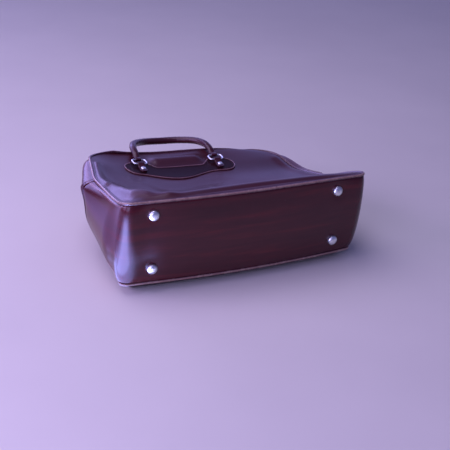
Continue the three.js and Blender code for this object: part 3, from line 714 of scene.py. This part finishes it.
def add_panel(name, height, facing, edge_shift):
    """A panel's wall: its height, tucked in at the piping and grooved beside it, half a wall each way."""
    x, y = panel_places()
    rim = rim_distance(x, y)
    tuck = TUCK.depth * bell(rim, TUCK.width)
    groove = GROOVE.depth * bell(rim - GROOVE.at, GROOVE.width)
    waves = panel_waves(x, y) * smoothstep(rim, *WAVES_START)
    middle = height(x, y, rim) + facing * (waves - (tuck + groove))
    if facing < 0:
        middle = np.maximum(middle, WALL / 2)
    shifted = x + edge_shift(x, y)
    faces = [np.stack([shifted, y, middle + side * facing * WALL / 2], -1) for side in (1, -1)]
    add_piece(f"{name}_skin", wall(*faces), panel_vinyl, name)


add_panel("front_panel", front_height, 1, front_shift)
add_panel("back_panel", back_height, -1, back_shift)


# Gussets

GUSSET_ROWS = 84
LAP = Sizes(under=3.0, over=4.0, lift=1.0, edge=-2.2, ridge=4.2, rise=1.0, width=1.3, fade=(2, 16))
LAP_SEAM = Sizes(past=1, ends=(0.04, 0.96), lift=0.2, points=80)
LAP_RUN = Sizes(near=14, fine=0.7, coarse=2.4)
MOUTH_ROWS = 26
EDGE_REACH = 1.5 / 145
BOTTOM_FACING = (0.7, 1)
TOP_FACING = 0.5


def swell(x, y, nx, ny, share):
    """How far the gusset stands out past the piping.

    Bottom and top swell evenly. The ends swell by a power of the share from either piping, fullest towards
    the back one, and this fades out about the lap. Further up they have a lip close to the front piping, a
    high power of the share, and sag or swell a little below it. The bottom's corners stand out in a ridge.
    """
    even = 4 * share * (1 - share)
    fullest = SWELL.back / (SWELL.back + SWELL.front)
    pillow = (share / fullest) ** SWELL.back * ((1 - share) / (1 - fullest)) ** SWELL.front
    below = smoothstep(y, *SWELL.rise) * (1 - smoothstep(y, *SWELL.fall))
    side = {key: np.where(x < 0, LIP["left"][key], LIP["right"][key]) for key in LIP["left"]}
    peak = side["power"] / (side["power"] + 1)
    lip = share ** side["power"] * (1 - share) / (peak ** side["power"] * (1 - peak))
    above = smoothstep(y, side["low"], side["high"]) * bell(y - side["at"], side["reach"])
    end = SWELL.end * below * pillow + above * (side["out"] * lip - side["sag"] * even)
    corner = bell(np.hypot(np.abs(x) - CORNER_RIDGE.x, y - CORNER_RIDGE.y), CORNER_RIDGE.reach)
    ridge = np.where(x < 0, CORNER_RIDGE.left, CORNER_RIDGE.right)
    ridge = ridge * (1 - (1 - even) ** CORNER_RIDGE.power)
    flat = np.where(ny < 0, SWELL.bottom, SWELL.top)
    return nx**2 * end + ny**2 * flat * even + ridge * corner


def gusset_ends(x, y):
    """Heights of the gusset's two edges, beside the back piping and beside the front one."""
    return section_value(BACK_SECTIONS, "rim", y) + SEAM, front_height(x, y, np.zeros_like(x)) - SEAM


def gusset_place(station, share, offset):
    """A place on the gusset: up by its share from back to front piping, out by the swell and an offset."""
    x, y, nx, ny = station
    low, high = gusset_ends(x, y)
    out = swell(x, y, nx, ny, np.clip(share, 0, 1)) + offset
    shift = np.clip(share, 0, 1) ** LEAN.power * front_shift(x, y) + (1 - share) ** 2 * back_shift(x, y)
    return np.stack([x + nx * out + shift, y + ny * out, low + (high - low) * share + 0 * out], -1)


def past_lap(run):
    """Length along the outline past the nearer lap, towards the mouth."""
    from_top = np.abs(np.mod(run, LOOP_RUN[-1]) - LOOP_RUN[-1] / 2)
    return LOOP_RUN[-1] / 2 - LAP_AT - from_top


def lap_runs(first, last):
    """Lengths along the outline, at a fine step near both laps and a coarse one between."""
    near = np.arange(0, LAP_RUN.near, LAP_RUN.fine)
    count = int((last - first) / LAP_RUN.coarse)
    middle = np.linspace(first + LAP_RUN.near, last - LAP_RUN.near, count)
    return np.concatenate([first + near, middle, last - near[::-1]])[:, None]


def edge_reach(share):
    """Shares drawn a little past both ends, so that the gusset's edges lie inside the piping."""
    return -EDGE_REACH + (1 + 2 * EDGE_REACH) * share


def foot_dimples(x, ny, share, depth):
    """Shallow hollows round the feet: bells of the distance to each foot, on the bottom alone."""
    total = 0
    for side in (-1, 1):
        for row in FOOT.rows:
            away = np.hypot(x - side * FOOT.across, (share - row) * depth)
            total = total + DIMPLE.depth * bell(away, DIMPLE.width)
    return total * (ny < -BOTTOM_FACING[0])


def bottom_waves(x, z):
    """The stiff bottom's unevenness: long low sines along it."""
    return 0.22 * np.sin(x / 47 + 0.4) * np.sin(z / 31 + 1.1) + 0.12 * np.sin(x / 17 + z / 60)


def gusset_wall(run, share, keep=None, offset=0.0):
    """The gusset's wall over lengths along the outline and shares across it, with strip places in metres.

    It turns in beside either piping, and has a welt beside the front one at both ends, painted pale tan as
    rubbed wear and as a painted highlight along it.
    """
    station = loop_at(run)
    low, high = gusset_ends(station[0], station[1])
    from_back = share * (high - low) + SEAM
    from_front = (1 - share) * (high - low) + SEAM
    tuck = TUCK.depth * (bell(from_back, TUCK.width) + bell(from_front, TUCK.width))
    welt = bell(from_front - WELT.at, WELT.width) * station[2] ** WELT.power
    out = offset - tuck + WELT.rise * welt
    faces = [gusset_place(station, share, out + side * WALL / 2) for side in (1, -1)]
    uv = np.stack([run + 0 * share, (high - low) * share], -1) / 1000
    shape = wall(*faces, keep=keep, uv=uv)
    # Pale tan on the welt: rubbed wear together with a painted highlight.
    shape["wear"] = np.tile((WELT.wear * welt).ravel(), 2)
    return shape


def add_bottom_gusset():
    """The bottom and the lower ends: dimpled round the feet, and drawn in under the laps."""
    run = lap_runs(-LAP_AT - LAP.under, LAP_AT + LAP.under)
    share = edge_reach(edge_shares(GUSSET_ROWS))[None]
    x, y, _, ny = loop_at(run)
    low, high = gusset_ends(x, y)
    under = LAP.lift * smoothstep(past_lap(run), -2 * LAP.over, -LAP.over)
    offset = bottom_waves(x, low + (high - low) * share) * smoothstep(-ny, *BOTTOM_FACING)
    offset = offset - under - foot_dimples(x, ny, share, high - low)
    shape = gusset_wall(run, share, offset=offset)
    add_piece("bottom_gusset_skin", shape, gusset_vinyl, "bottom_gusset")


def mouth_share(x, y):
    """Half the mouth's opening as a share of the gusset's depth: a parabola, widest in the middle."""
    low, high = gusset_ends(x, y)
    half = MOUTH.end + (MOUTH.middle - MOUTH.end) * np.maximum(1 - (x / MOUTH_END) ** 2, 0)
    return half / (high - low)


def add_top_gusset():
    """The upper ends and the top, open along the mouth, with a folded and a stitched ridge at each lap."""
    run = lap_runs(LAP_AT - LAP.over, LOOP_RUN[-1] - LAP_AT + LAP.over)
    x, y, _, ny = loop_at(run)
    part = edge_shares(MOUTH_ROWS)[None]
    edge = edge_reach(0.0)
    reach = 0.5 - mouth_share(x, y) - edge
    share = np.concatenate([edge + reach * part, 1 - edge - reach * part[:, ::-1]], 1)
    past = past_lap(run)
    lift = LAP.lift * (1 - smoothstep(past, *LAP.fade))
    ridges = bell(past - LAP.edge, LAP.width) + bell(past - LAP.ridge, LAP.width)
    within = np.abs(x) <= MOUTH_END
    open_column = within[1:] & within[:-1] & (ny[1:] > TOP_FACING)
    keep = ~(open_column & (np.arange(share.shape[1] - 1) == MOUTH_ROWS - 1))
    shape = gusset_wall(run, share, keep=keep, offset=lift + LAP.rise * ridges)
    add_piece("top_gusset_skin", shape, gusset_vinyl, "top_gusset")


def add_lap_stitches():
    """A row of stitches between the ridges of each lap."""
    share = np.linspace(*LAP_SEAM.ends, LAP_SEAM.points)
    seam_at = LAP_AT + LAP_SEAM.past
    rows = []
    for run in (seam_at, LOOP_RUN[-1] - seam_at):
        station = [value + 0 * share for value in loop_at(run)]
        out = np.stack([station[2], station[3], 0 * share], 1)
        rows.append((gusset_place(station, share, WALL / 2 + LAP.lift + LAP_SEAM.lift), out))
    add_stitches("lap", *rows)


add_bottom_gusset()
add_top_gusset()
add_lap_stitches()


# Piping

PIPING_SIDES = 14
PIPING_STEP = 2
RIDGE_WEAR = (0.35, 0.98)


def add_piping(name, height, edge_shift, ridge_angle):
    """A cord round a panel's outline, with its ridge's wear falling off with the angle from the ridge."""
    run = np.linspace(0, LOOP_RUN[-1], int(LOOP_RUN[-1] / PIPING_STEP), endpoint=False)
    x, y, nx, ny = loop_at(run)
    path = np.stack([x + edge_shift(x, y), y, height(x, y, np.zeros_like(x))], 1)
    across = np.stack([nx, ny, 0 * nx], 1)
    up = np.cross(across, unit(ring_steps(path)))
    shape = sweep(path, across, up, oval(PIPING_RADIUS, PIPING_RADIUS, PIPING_SIDES), closed=True)
    from_ridge = ring_angles(PIPING_SIDES) - ridge_angle
    shape["wear"] = np.tile(smoothstep(np.cos(from_ridge), *RIDGE_WEAR), len(run))
    add_piece(f"{name}_cord", shape, piping_vinyl, name, sharp=80)


add_piping("front_piping", front_height, front_shift, math.radians(45))
add_piping("back_piping", back_height, back_shift, math.radians(8))


# Zip

TAPE = Sizes(inward=(-6, 1.8), out=(-1.3, -2.0), rows=5, points=90)
ZIP_SEAM = dict(count=200, out=WALL / 2 + 0.15, inward=-3.2)
TOOTH = Sizes(
    depths=np.array([-1.0, -0.5, 0.3, 0.8, 1.0]),
    scales=np.array([0.7, 0.72, 0.9, 1.0, 0.55]),
    sides=8,
    square=0.6,
)
SLIDER = Sizes(length=11, thickness=4, width=9, square=0.5)
SLIDER_WAIST = Sizes(depth=0.28, at=-0.35, width=0.35, ends=0.35, start=0.7, power=1.2)
PULL = Sizes(length=24, width=6, thickness=1.4, start=2.5, lift=0.9, narrow=0.75, corner_power=8)
BRIDGE = Sizes(half=3.2, rise=1.6, sink=0.4, half_width=0.9, half_thickness=0.7)


def mouth_edge(side, count, out=0.0, inward=0.0):
    """The mouth's front or back edge from left to right, moved out of the top and in towards its middle."""
    x = np.linspace(-MOUTH_END, MOUTH_END, count) * ZIP.share
    station = (x, np.full(count, HEIGHT), np.zeros(count), np.ones(count))
    edge = gusset_place(station, 0.5 + side * mouth_share(x, station[1]), out)
    edge[:, 2] -= side * inward
    return edge


def tooth():
    """One tooth, x along the zip: an oval block that narrows to a nose at its free end."""
    path = np.outer(TOOTH.depths * ZIP.width / 2, Z_AXIS)
    half_along, half_out = (TOOTH.scales * size / 2 for size in (ZIP.tooth, ZIP.thickness))
    return sweep(path, X_AXIS, Y_AXIS, oval(half_along, half_out, TOOTH.sides, TOOTH.square))


def add_zip_side(name, side):
    """Teeth along one edge of the mouth, their tape as a thin wall under the gusset, and its stitches."""
    count = int(2 * MOUTH_END * ZIP.share / ZIP.pitch)
    places = mouth_edge(side, count, inward=ZIP.gap + ZIP.width / 2)
    axes = np.tile(np.diag([1.0, 1.0, -side]), (count, 1, 1))
    shape = scattered(tooth(), places, axes)
    if side > 0:
        shape["quads"] = shape["quads"][:, ::-1]
    add_piece(f"{name}_teeth", shape, zip_brass, name, weld=True)
    shifts = np.linspace(*TAPE.inward, TAPE.rows)
    faces = [np.stack([mouth_edge(side, TAPE.points, out, s) for s in shifts], 1) for out in TAPE.out]
    add_piece(f"{name}_tape", wall(*faces), tape_cloth)
    add_stitches(name, (mouth_edge(side, **ZIP_SEAM), Y_AXIS))


def add_slider():
    """The slider: a waisted oval body, a bridge on it, and a flat pull that lies back along the zip."""
    seat = mouth_edge(0, 2)[1] * (0, 1, 1)
    seat[0] = MOUTH_END - SLIDER.length
    seat[1] += (ZIP.thickness + SLIDER.thickness) / 2 + SEAT_GAP
    along = np.linspace(-1, 1, 13)
    ends = SLIDER_WAIST.ends * np.clip(np.abs(along) - SLIDER_WAIST.start, 0, 1) ** SLIDER_WAIST.power
    waist = 1 - SLIDER_WAIST.depth * bell(along - SLIDER_WAIST.at, SLIDER_WAIST.width) - ends
    section = oval(waist * SLIDER.width / 2, waist**0.5 * SLIDER.thickness / 2, 20, SLIDER.square)
    body = sweep(seat + np.outer(along * SLIDER.length / 2, X_AXIS), Z_AXIS, Y_AXIS, section)
    top = SLIDER.thickness / 2
    lift = top + BRIDGE.rise * np.sqrt(np.clip(1 - along**2, 0, 1)) - BRIDGE.sink
    arch = seat + np.stack([along * BRIDGE.half, lift, 0 * along], 1)
    section = oval(BRIDGE.half_width, BRIDGE.half_thickness, 10)
    bridge = sweep(arch, Z_AXIS, path_frame(arch, Z_AXIS)[0], section)
    far = np.linspace(0, 1, 24)
    rows = np.stack([-PULL.start - far * PULL.length, 0 * far + top + PULL.lift, 0 * far], 1)
    corners = np.sqrt(np.clip(1 - (2 * far - 1) ** PULL.corner_power, 0.02, 1))
    taper = corners * (PULL.narrow + (1 - PULL.narrow) * far)
    section = oval(taper * PULL.width / 2, PULL.thickness / 2, 16, SLIDER.square)
    pull = sweep(seat + rows, Z_AXIS, Y_AXIS, section)
    add_piece("zip_slider_body", joined(body, bridge, pull), nickel, "zip_slider", weld=True)


add_zip_side("zip_row_front", 1)
add_zip_side("zip_row_back", -1)
add_slider()


# Feet

SIDES = (("left", -1), ("right", 1))
DOME = Sizes(steps=14, fullness=0.86, flange_edge=0.7)
SLOPE_STEP = 0.02


def bottom_place(x, share):
    """A place on the bottom, between its corners."""
    station = [np.array(value, float) for value in (x, -bottom_bow(x), 0, -1)]
    return gusset_place(station, share, 0.0)


def add_dome(name, part, size, seat, axis):
    """A nickel dome: a skirt below its seat, a thin flange, and a quarter of a full oval to the middle."""
    radius, flange, skirt = size.radius, size.flange, size.skirt
    angle = np.linspace(0, np.pi / 2, DOME.steps)
    width, height = radius * np.cos(angle) ** DOME.fullness, flange + (size.height - flange) * np.sin(angle)
    rise = [*zip(width[:-1], height), (0, size.height)]
    profile = [(0, -skirt), (radius, -skirt), (radius, 0), (radius, flange * DOME.flange_edge)] + rise
    shape = turned(profile, seat, axis, size.sides)
    add_piece(f"{name}_{part}", shape, nickel, name, weld=True)


def add_feet():
    """Domes that stand square on the bottom: the axis is square to its two slopes at the foot."""
    for side_name, side in SIDES:
        for row_name, share in zip(("back", "front"), FOOT.rows):
            x = side * FOOT.across
            up = bottom_place(x, share + SLOPE_STEP) - bottom_place(x, share - SLOPE_STEP)
            along = bottom_place(x + FOOT.radius, share) - bottom_place(x - FOOT.radius, share)
            axis = unit(np.cross(along, up))
            seat = bottom_place(x, share) + axis * (WALL / 2 + SEAT_GAP)
            add_dome(f"foot_{side_name}_{row_name}", "dome", FOOT, seat, axis)


add_feet()


# Handle mounts and handles

PATCH_TOP = SEAT_GAP + PATCH.thickness
PATCH_SHEET = Sizes(columns=120, rows=30, share=0.99, sink=-0.6)
PATCH_LINE_SHARE = 0.995
# The bead's wear level paints the whole bead pale: a painted highlight along its rolled edge.
BEAD = Sizes(points=150, inset=0.6, lift=1.2, half_across=1.2, half_up=1.25, sides=12, wear=0.8)
PATCH_SEAM = dict(count=200, inset=4.6, lift=PATCH_TOP + 0.12)
STRAP = Sizes(points=90, gap=0.15, sides=20, square=0.45)
RIVET_GAP = 0.1
CREASES = Sizes(depth=0.018, fine=211, slow=37)
HANDLE_SEAM = Sizes(across=0.8, up=0.62, inner=slice(8, -8))
# Rows of along, under layer's height and upper layer's height, from the ring's bar
CHAPE_TAILS = [(-6, -3.0, -0.6), (-13, -3.42, -1.8), (-18, -3.42, -1.86), (-24, -3.42, -1.86)]
HANDLE_TAILS = [(5, -1.5, 1.9), (10, -1.1, 1.5), (16, -0.9, 1.4)]
NEAR_BAR = CHAPE.reach
FAR_BAR = NEAR_BAR + RING.length
RING_MIDDLE = NEAR_BAR + RING.length / 2


def panel_face(facing, x, y):
    """Height of a panel's outer face."""
    height = front_height if facing > 0 else back_height
    return height(x, y, rim_distance(x, y)) + facing * WALL / 2


def patch_edges(along):
    """The patch's two edges: a squared cosine's dip, a waist between the mounts, and elliptic ends."""
    side = np.abs(along)
    inner = PATCH.half - PATCH.end
    wave = np.cos(np.pi / 2 * np.clip((along - PATCH_DIP.at) / PATCH_DIP.half, -1, 1)) ** 2
    low = -PATCH.shoulder - (PATCH.dip - PATCH.shoulder) * wave
    past = np.maximum(side - inner, 0) / PATCH.end
    rounding = np.sqrt(np.maximum(1 - past**2, 0))
    middle = (PATCH.top - PATCH.shoulder) / 2
    lobe = smoothstep(side, PATCH_WAIST.start, PATCH_WAIST.end)
    high = PATCH_WAIST.top + (PATCH.top - PATCH_WAIST.top) * lobe
    return middle + (low - middle) * rounding, middle + (high - middle) * rounding


def patch_span(count, share):
    """Places along the patch that crowd towards its ends, as the cosine of even angles."""
    return -PATCH.half * share * np.cos(np.linspace(0, np.pi, count))


def patch_loop(facing, count, inset, lift):
    """A closed line on the patch, its outline drawn in by an inset, at a lift over the panel."""
    along = patch_span(count, PATCH_LINE_SHARE)
    low, high = patch_edges(along)
    edge = np.concatenate([np.stack([along, low], 1), np.stack([along, high], 1)[-2:0:-1]])
    x, y = ((PATCH.x, PATCH.y) + edge - ring_normals(edge) * inset).T
    return np.stack([x, y, panel_face(facing, x, y) + facing * lift], 1)


def add_patch(name, facing):
    """A handle patch: a sheet on the panel, its vinyl painted darker than the panel as painted shade of the
    handles over it, a rolled bead along its edge, painted pale all along as a painted highlight, and stitches
    inside the bead.
    """
    along = patch_span(PATCH_SHEET.columns, PATCH_SHEET.share)[:, None]
    low, high = patch_edges(along)
    x = PATCH.x + along + np.zeros(PATCH_SHEET.rows)
    y = PATCH.y + low + (high - low) * np.linspace(0, 1, PATCH_SHEET.rows)
    face = panel_face(facing, x, y)
    lifts = (PATCH_TOP, PATCH_SHEET.sink)
    sheet = wall(*[np.stack([x, y, face + facing * lift], -1) for lift in lifts])
    path = patch_loop(facing, BEAD.points, BEAD.inset, BEAD.lift)
    across, up = path_frame(path, Z_AXIS, closed=True)
    bead = sweep(path, across, up, oval(BEAD.half_across, BEAD.half_up, BEAD.sides), closed=True)
    # The bead is painted pale all along: a painted highlight on its rolled edge.
    bead["wear"] = np.full(len(bead["points"]), BEAD.wear)
    # The sheet's vinyl is painted dark: painted shade under the handles.
    add_piece(f"{name}_sheet", sheet, shaded_patch_vinyl, name)
    add_piece(f"{name}_bead", bead, strap_vinyl, sharp=80)
    add_stitches(name, (patch_loop(facing, **PATCH_SEAM), facing * Z_AXIS))


def mount_axes(node_name, facing):
    """Seat and axes of a mount: its packed ring's longest spread is across, the next along, the least out."""
    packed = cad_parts[node_name].data
    points = np.empty(len(packed.vertices) * 3, np.float32)
    packed.vertices.foreach_get("co", points)
    points = np.unique(np.round(points.reshape(-1, 3).astype(float) * 1000, 3), axis=0) - SHIFT
    centre = (points.min(0) + points.max(0)) / 2
    out, along, _ = np.linalg.eigh(np.cov((points - centre).T))[1].T
    along = along * np.sign(along[1])
    out = out * np.sign(out[2]) * facing
    seat = centre - along * RING_MIDDLE - out * EYE_HEIGHT
    return seat, np.stack([np.cross(along, out), along, out])


def mounted(mount, points):
    """Places of a mount's own measures: across, along the panel and out of it from the seat."""
    seat, axes = mount
    return seat + np.asarray(points, float) @ axes


def on_mount(mount, shape):
    """A shape in a mount's own measures, moved to the mount."""
    return dict(points=mounted(mount, shape["points"]), quads=shape["quads"])


def ring_wire(mount):
    """A rounded oblong of wire: straight sides, a quarter turn at each corner."""
    angle = np.linspace(0, 2 * np.pi, RING.points, endpoint=False)
    spoke = np.stack([np.cos(angle), np.sin(angle), 0 * angle], 1)
    straight = (RING.half_width - RING.corner, RING.length / 2 - RING.corner, 0)
    path = np.where(spoke >= 0, 1.0, -1.0) * straight + RING.corner * spoke + (0, RING_MIDDLE, EYE_HEIGHT)
    section = oval(RING.wire, RING.wire, RING.sides)
    return on_mount(mount, sweep(path, spoke, Z_AXIS, section, closed=True))


def strap_loop(mount, bar_at, tails, width, end_round=0):
    """A strap folded round one bar of the ring: two layers whose tails run along, from the side a teardrop.

    Where end_round is set, the width is drawn in to a half round over that length of each tail.
    """
    reach = RING.wire + CHAPE.layer / 2 + STRAP.gap
    away = np.sign(tails[0][0])
    angle = np.linspace(-np.pi / 2, np.pi / 2, 13)
    bend = np.stack([-away * reach * np.cos(angle), reach * np.sin(angle)], 1)
    under = [(along, low) for along, low, _ in tails[::-1]]
    over = [(along, high) for along, _, high in tails]
    flat = np.concatenate([under, bend, over])
    path = smooth_path(np.insert(flat + (bar_at, EYE_HEIGHT), 0, 0, axis=1), STRAP.points)
    out = unit(np.cross(X_AXIS, np.gradient(path, axis=0)))
    half = np.full(STRAP.points, width / 2)
    if end_round:
        step = np.arange(STRAP.points)
        from_end = np.minimum(step, step[::-1]) / step[-1] * run_along(path)[-1]
        half = half * np.sqrt(np.clip(1 - np.clip(1 - from_end / end_round, 0, 1) ** 2, 0.04, 1))
    section = oval(half, CHAPE.layer / 2, STRAP.sides, STRAP.square)
    return on_mount(mount, sweep(path, X_AXIS, out, section))


def add_mount(place, mount):
    """A chape folded round the ring's near bar, the ring, and the rivet through the chape."""
    tab = strap_loop(mount, NEAR_BAR, CHAPE_TAILS, CHAPE.width, CHAPE.end)
    add_piece(f"chape_{place}_tab", tab, strap_vinyl, f"chape_{place}", weld=True)
    add_piece(f"ring_{place}_wire", ring_wire(mount), nickel, f"ring_{place}")
    seat = mounted(mount, (0, 0, CHAPE.thickness + RIVET_GAP))
    add_dome(f"rivet_{place}", "head", RIVET, seat, mount[1][2])


def handle_route(facing, mounts):
    """The handle's line from ring to ring, through the rows of its route from one end and back."""
    ends = [mounted(mount, (0, FAR_BAR, EYE_HEIGHT)) for mount in mounts]
    middle = (ends[0] + ends[1]) / 2
    half = (ends[1] - ends[0]) / 2
    there = np.array([*HANDLE_ROUTE.values()], float)
    across, out, lift, low = np.concatenate([there * [[-1], [1], [1], [1]], there[:, -2::-1]], 1)
    height = middle[2] + half[2] * across + lift if facing > 0 else low
    spots = np.stack([middle[0] + half[0] * across, middle[1] + out, height], 1)
    return smooth_path(spots, HANDLE.points)


def add_handle(name, facing, mounts):
    """A rolled handle: round along its arch, flattened at both ends, with a strap folded round each ring."""
    path = handle_route(facing, mounts)
    across, up = path_frame(path, Z_AXIS)
    t = np.linspace(0, 1, len(path))
    full = smoothstep(np.minimum(t, 1 - t), 0, HANDLE.taper)
    creases = 1 + CREASES.depth * np.sin(t * CREASES.fine) * np.sin(t * CREASES.slow) * full
    half_across, half_up = ((end + (HANDLE.radius - end) * full) * creases for end in HANDLE.end)
    roll = sweep(path, across, up, oval(half_across, half_up, HANDLE.sides, HANDLE.square))
    loops = [strap_loop(mount, FAR_BAR, HANDLE_TAILS, HANDLE.loop) for mount in mounts]
    add_piece(f"{name}_roll", joined(roll, *loops), strap_vinyl, name, weld=True)
    aside, above = (half_across * HANDLE_SEAM.across)[:, None], (half_up * HANDLE_SEAM.up)[:, None]
    seam = path - across * aside + up * above
    add_stitches(name, (seam[HANDLE_SEAM.inner], unit(up - across)[HANDLE_SEAM.inner]))


def add_handle_side(panel, facing):
    """A panel's patch, its two mounts and the handle between them."""
    places = [f"{panel}_{side_name}" for side_name, _ in SIDES]
    mounts = [mount_axes(f"ring_{place}", facing) for place in places]
    add_patch(f"{panel}_handle_patch", facing)
    for place, mount in zip(places, mounts):
        add_mount(place, mount)
    add_handle(f"{panel}_handle", facing, mounts)


add_handle_side("front", 1)
add_handle_side("back", -1)


# Floor, light and camera

FLOOR_HALF = 12.0
BAG_CORNER = (-0.19, -0.05, 0.15)
CARD_BLUE = (0.33, 0.38, 1.0)
BACK_BLUE = (0.43, 0.38, 1.0)
# Columns of name, place, aim, size, watts and colour
LIGHTS = (
    ("left_window", (-1.9, 0.2, 0.9), (0, 0, 0.08), (1.4, 1.0), 27, (0.62, 0.42, 1.0)),
    ("left_key", (-1.1, -1.0, 0.7), (-0.1, -0.17, 0.08), (0.9, 0.9), 10, (0.56, 0.47, 1.0)),
    ("overhead", (-0.6, 0.4, 2.0), (-0.05, 0.05, 0.05), (1.6, 1.6), 24, (0.75, 0.62, 1.0)),
)
CARDS = (
    ("left_card", (-0.365, -0.272, 0.022), (-0.29, -0.228, 1), (0.15, 0.28), 1.3, CARD_BLUE),
    ("left_card_edge", (-0.365, -0.272, 0.02), (-0.29, -0.228, 1), (0.24, 0.38), 1.6, CARD_BLUE),
    ("left_card_rim", (-0.395, -0.285, 0.018), (-0.32, -0.241, 1), (0.33, 0.46), 1.6, (0.33, 0.35, 1.0)),
    ("left_glow", (-0.74, 0.05, 0.012), (-0.74, 0.06, 1), (0.9, 1.2), 2, (0.2, 0.08, 1.0)),
    ("back_card", (-0.71, 2.02, 0.68), BAG_CORNER, (0.8, 0.7), 3.6, BACK_BLUE),
    ("back_card_edge", (-0.71, 2.03, 0.72), BAG_CORNER, (1.4, 1.1), 9.5, BACK_BLUE),
    ("back_glow", (-0.63, 2.02, 1.28), BAG_CORNER, (2.2, 2.0), 24, BACK_BLUE),
    ("right_card", (1.16, 2.18, 0.9), (0, 0, 0.1), (2.4, 1.9), 9.5, (0.4, 0.38, 1.0)),
)
SKY = dict(Color=(0.38, 0.37, 1.0, 1), Strength=0.28)
PHOTO_WIDTH = 450
CAMERA = Sizes(focal_pixels=970.6, yaw=25.49, pitch=26.5, roll=-3.57, place=(-648.9, -1281.8, 807.1))
SENSOR_WIDTH = 36.0


def add_floor():
    """A plain pale floor."""
    material, tree, bsdf = new_material("pale_floor")
    mottle = noise(tree, object_place(tree), 3.0, detail=3)
    shade = ramp(tree, mottle, (0.3, (0.68, 0.68, 0.57)), (0.7, (0.72, 0.72, 0.6)))
    feed(tree, bsdf, {"Base Color": shade, "Roughness": 0.85})
    mesh = bpy.data.meshes.new("floor")
    corners = [(x * FLOOR_HALF, y * FLOOR_HALF, 0) for x, y in ((-1, -1), (1, -1), (1, 1), (-1, 1))]
    mesh.from_pydata(corners, [], [(0, 1, 2, 3)])
    mesh.materials.append(material)
    new_object("floor", mesh)


def add_light(name, at, aim, size, watts, colour, card):
    """A soft rectangle of light that faces its aim. A card shows only as a reflection."""
    lamp = bpy.data.lights.new(name, "AREA")
    lamp.shape = "RECTANGLE"
    lamp.size, lamp.size_y = size
    lamp.energy = watts
    lamp.color = colour
    back = unit(np.subtract(at, aim))
    right = unit(np.cross(Z_AXIS, back))
    light = new_object(name, lamp)
    turn = Matrix(np.stack([right, np.cross(back, right), back], 1).tolist())
    light.matrix_world = Matrix.Translation(at) @ turn.to_4x4()
    light.visible_camera = False
    light.visible_diffuse = not card


def add_sky():
    """A dim even sky, and plain colours in the picture."""
    world = bpy.data.worlds.new("dim_sky")
    world.use_nodes = True
    feed(world.node_tree, world.node_tree.nodes["Background"], SKY)
    bpy.context.scene.world = world
    bpy.context.scene.view_settings.view_transform = "Standard"


def add_camera():
    """The photograph's camera: turned by yaw, dropped by pitch, then rolled about its own axis."""
    turns = ((-CAMERA.yaw, "Z"), (90 - CAMERA.pitch, "X"), (-CAMERA.roll, "Z"))
    yaw, drop, roll = (Matrix.Rotation(math.radians(angle), 4, axis) for angle, axis in turns)
    lens = bpy.data.cameras.new("camera")
    lens.sensor_width = SENSOR_WIDTH
    lens.lens = CAMERA.focal_pixels / PHOTO_WIDTH * SENSOR_WIDTH
    camera = new_object("camera", lens)
    place = (np.array(CAMERA.place) + SHIFT) / 1000
    camera.matrix_world = Matrix.Translation(place.tolist()) @ yaw @ drop @ roll
    bpy.context.scene.camera = camera


add_floor()
for row in LIGHTS:
    add_light(*row, card=False)
for row in CARDS:
    add_light(*row, card=True)
add_sky()
add_camera()
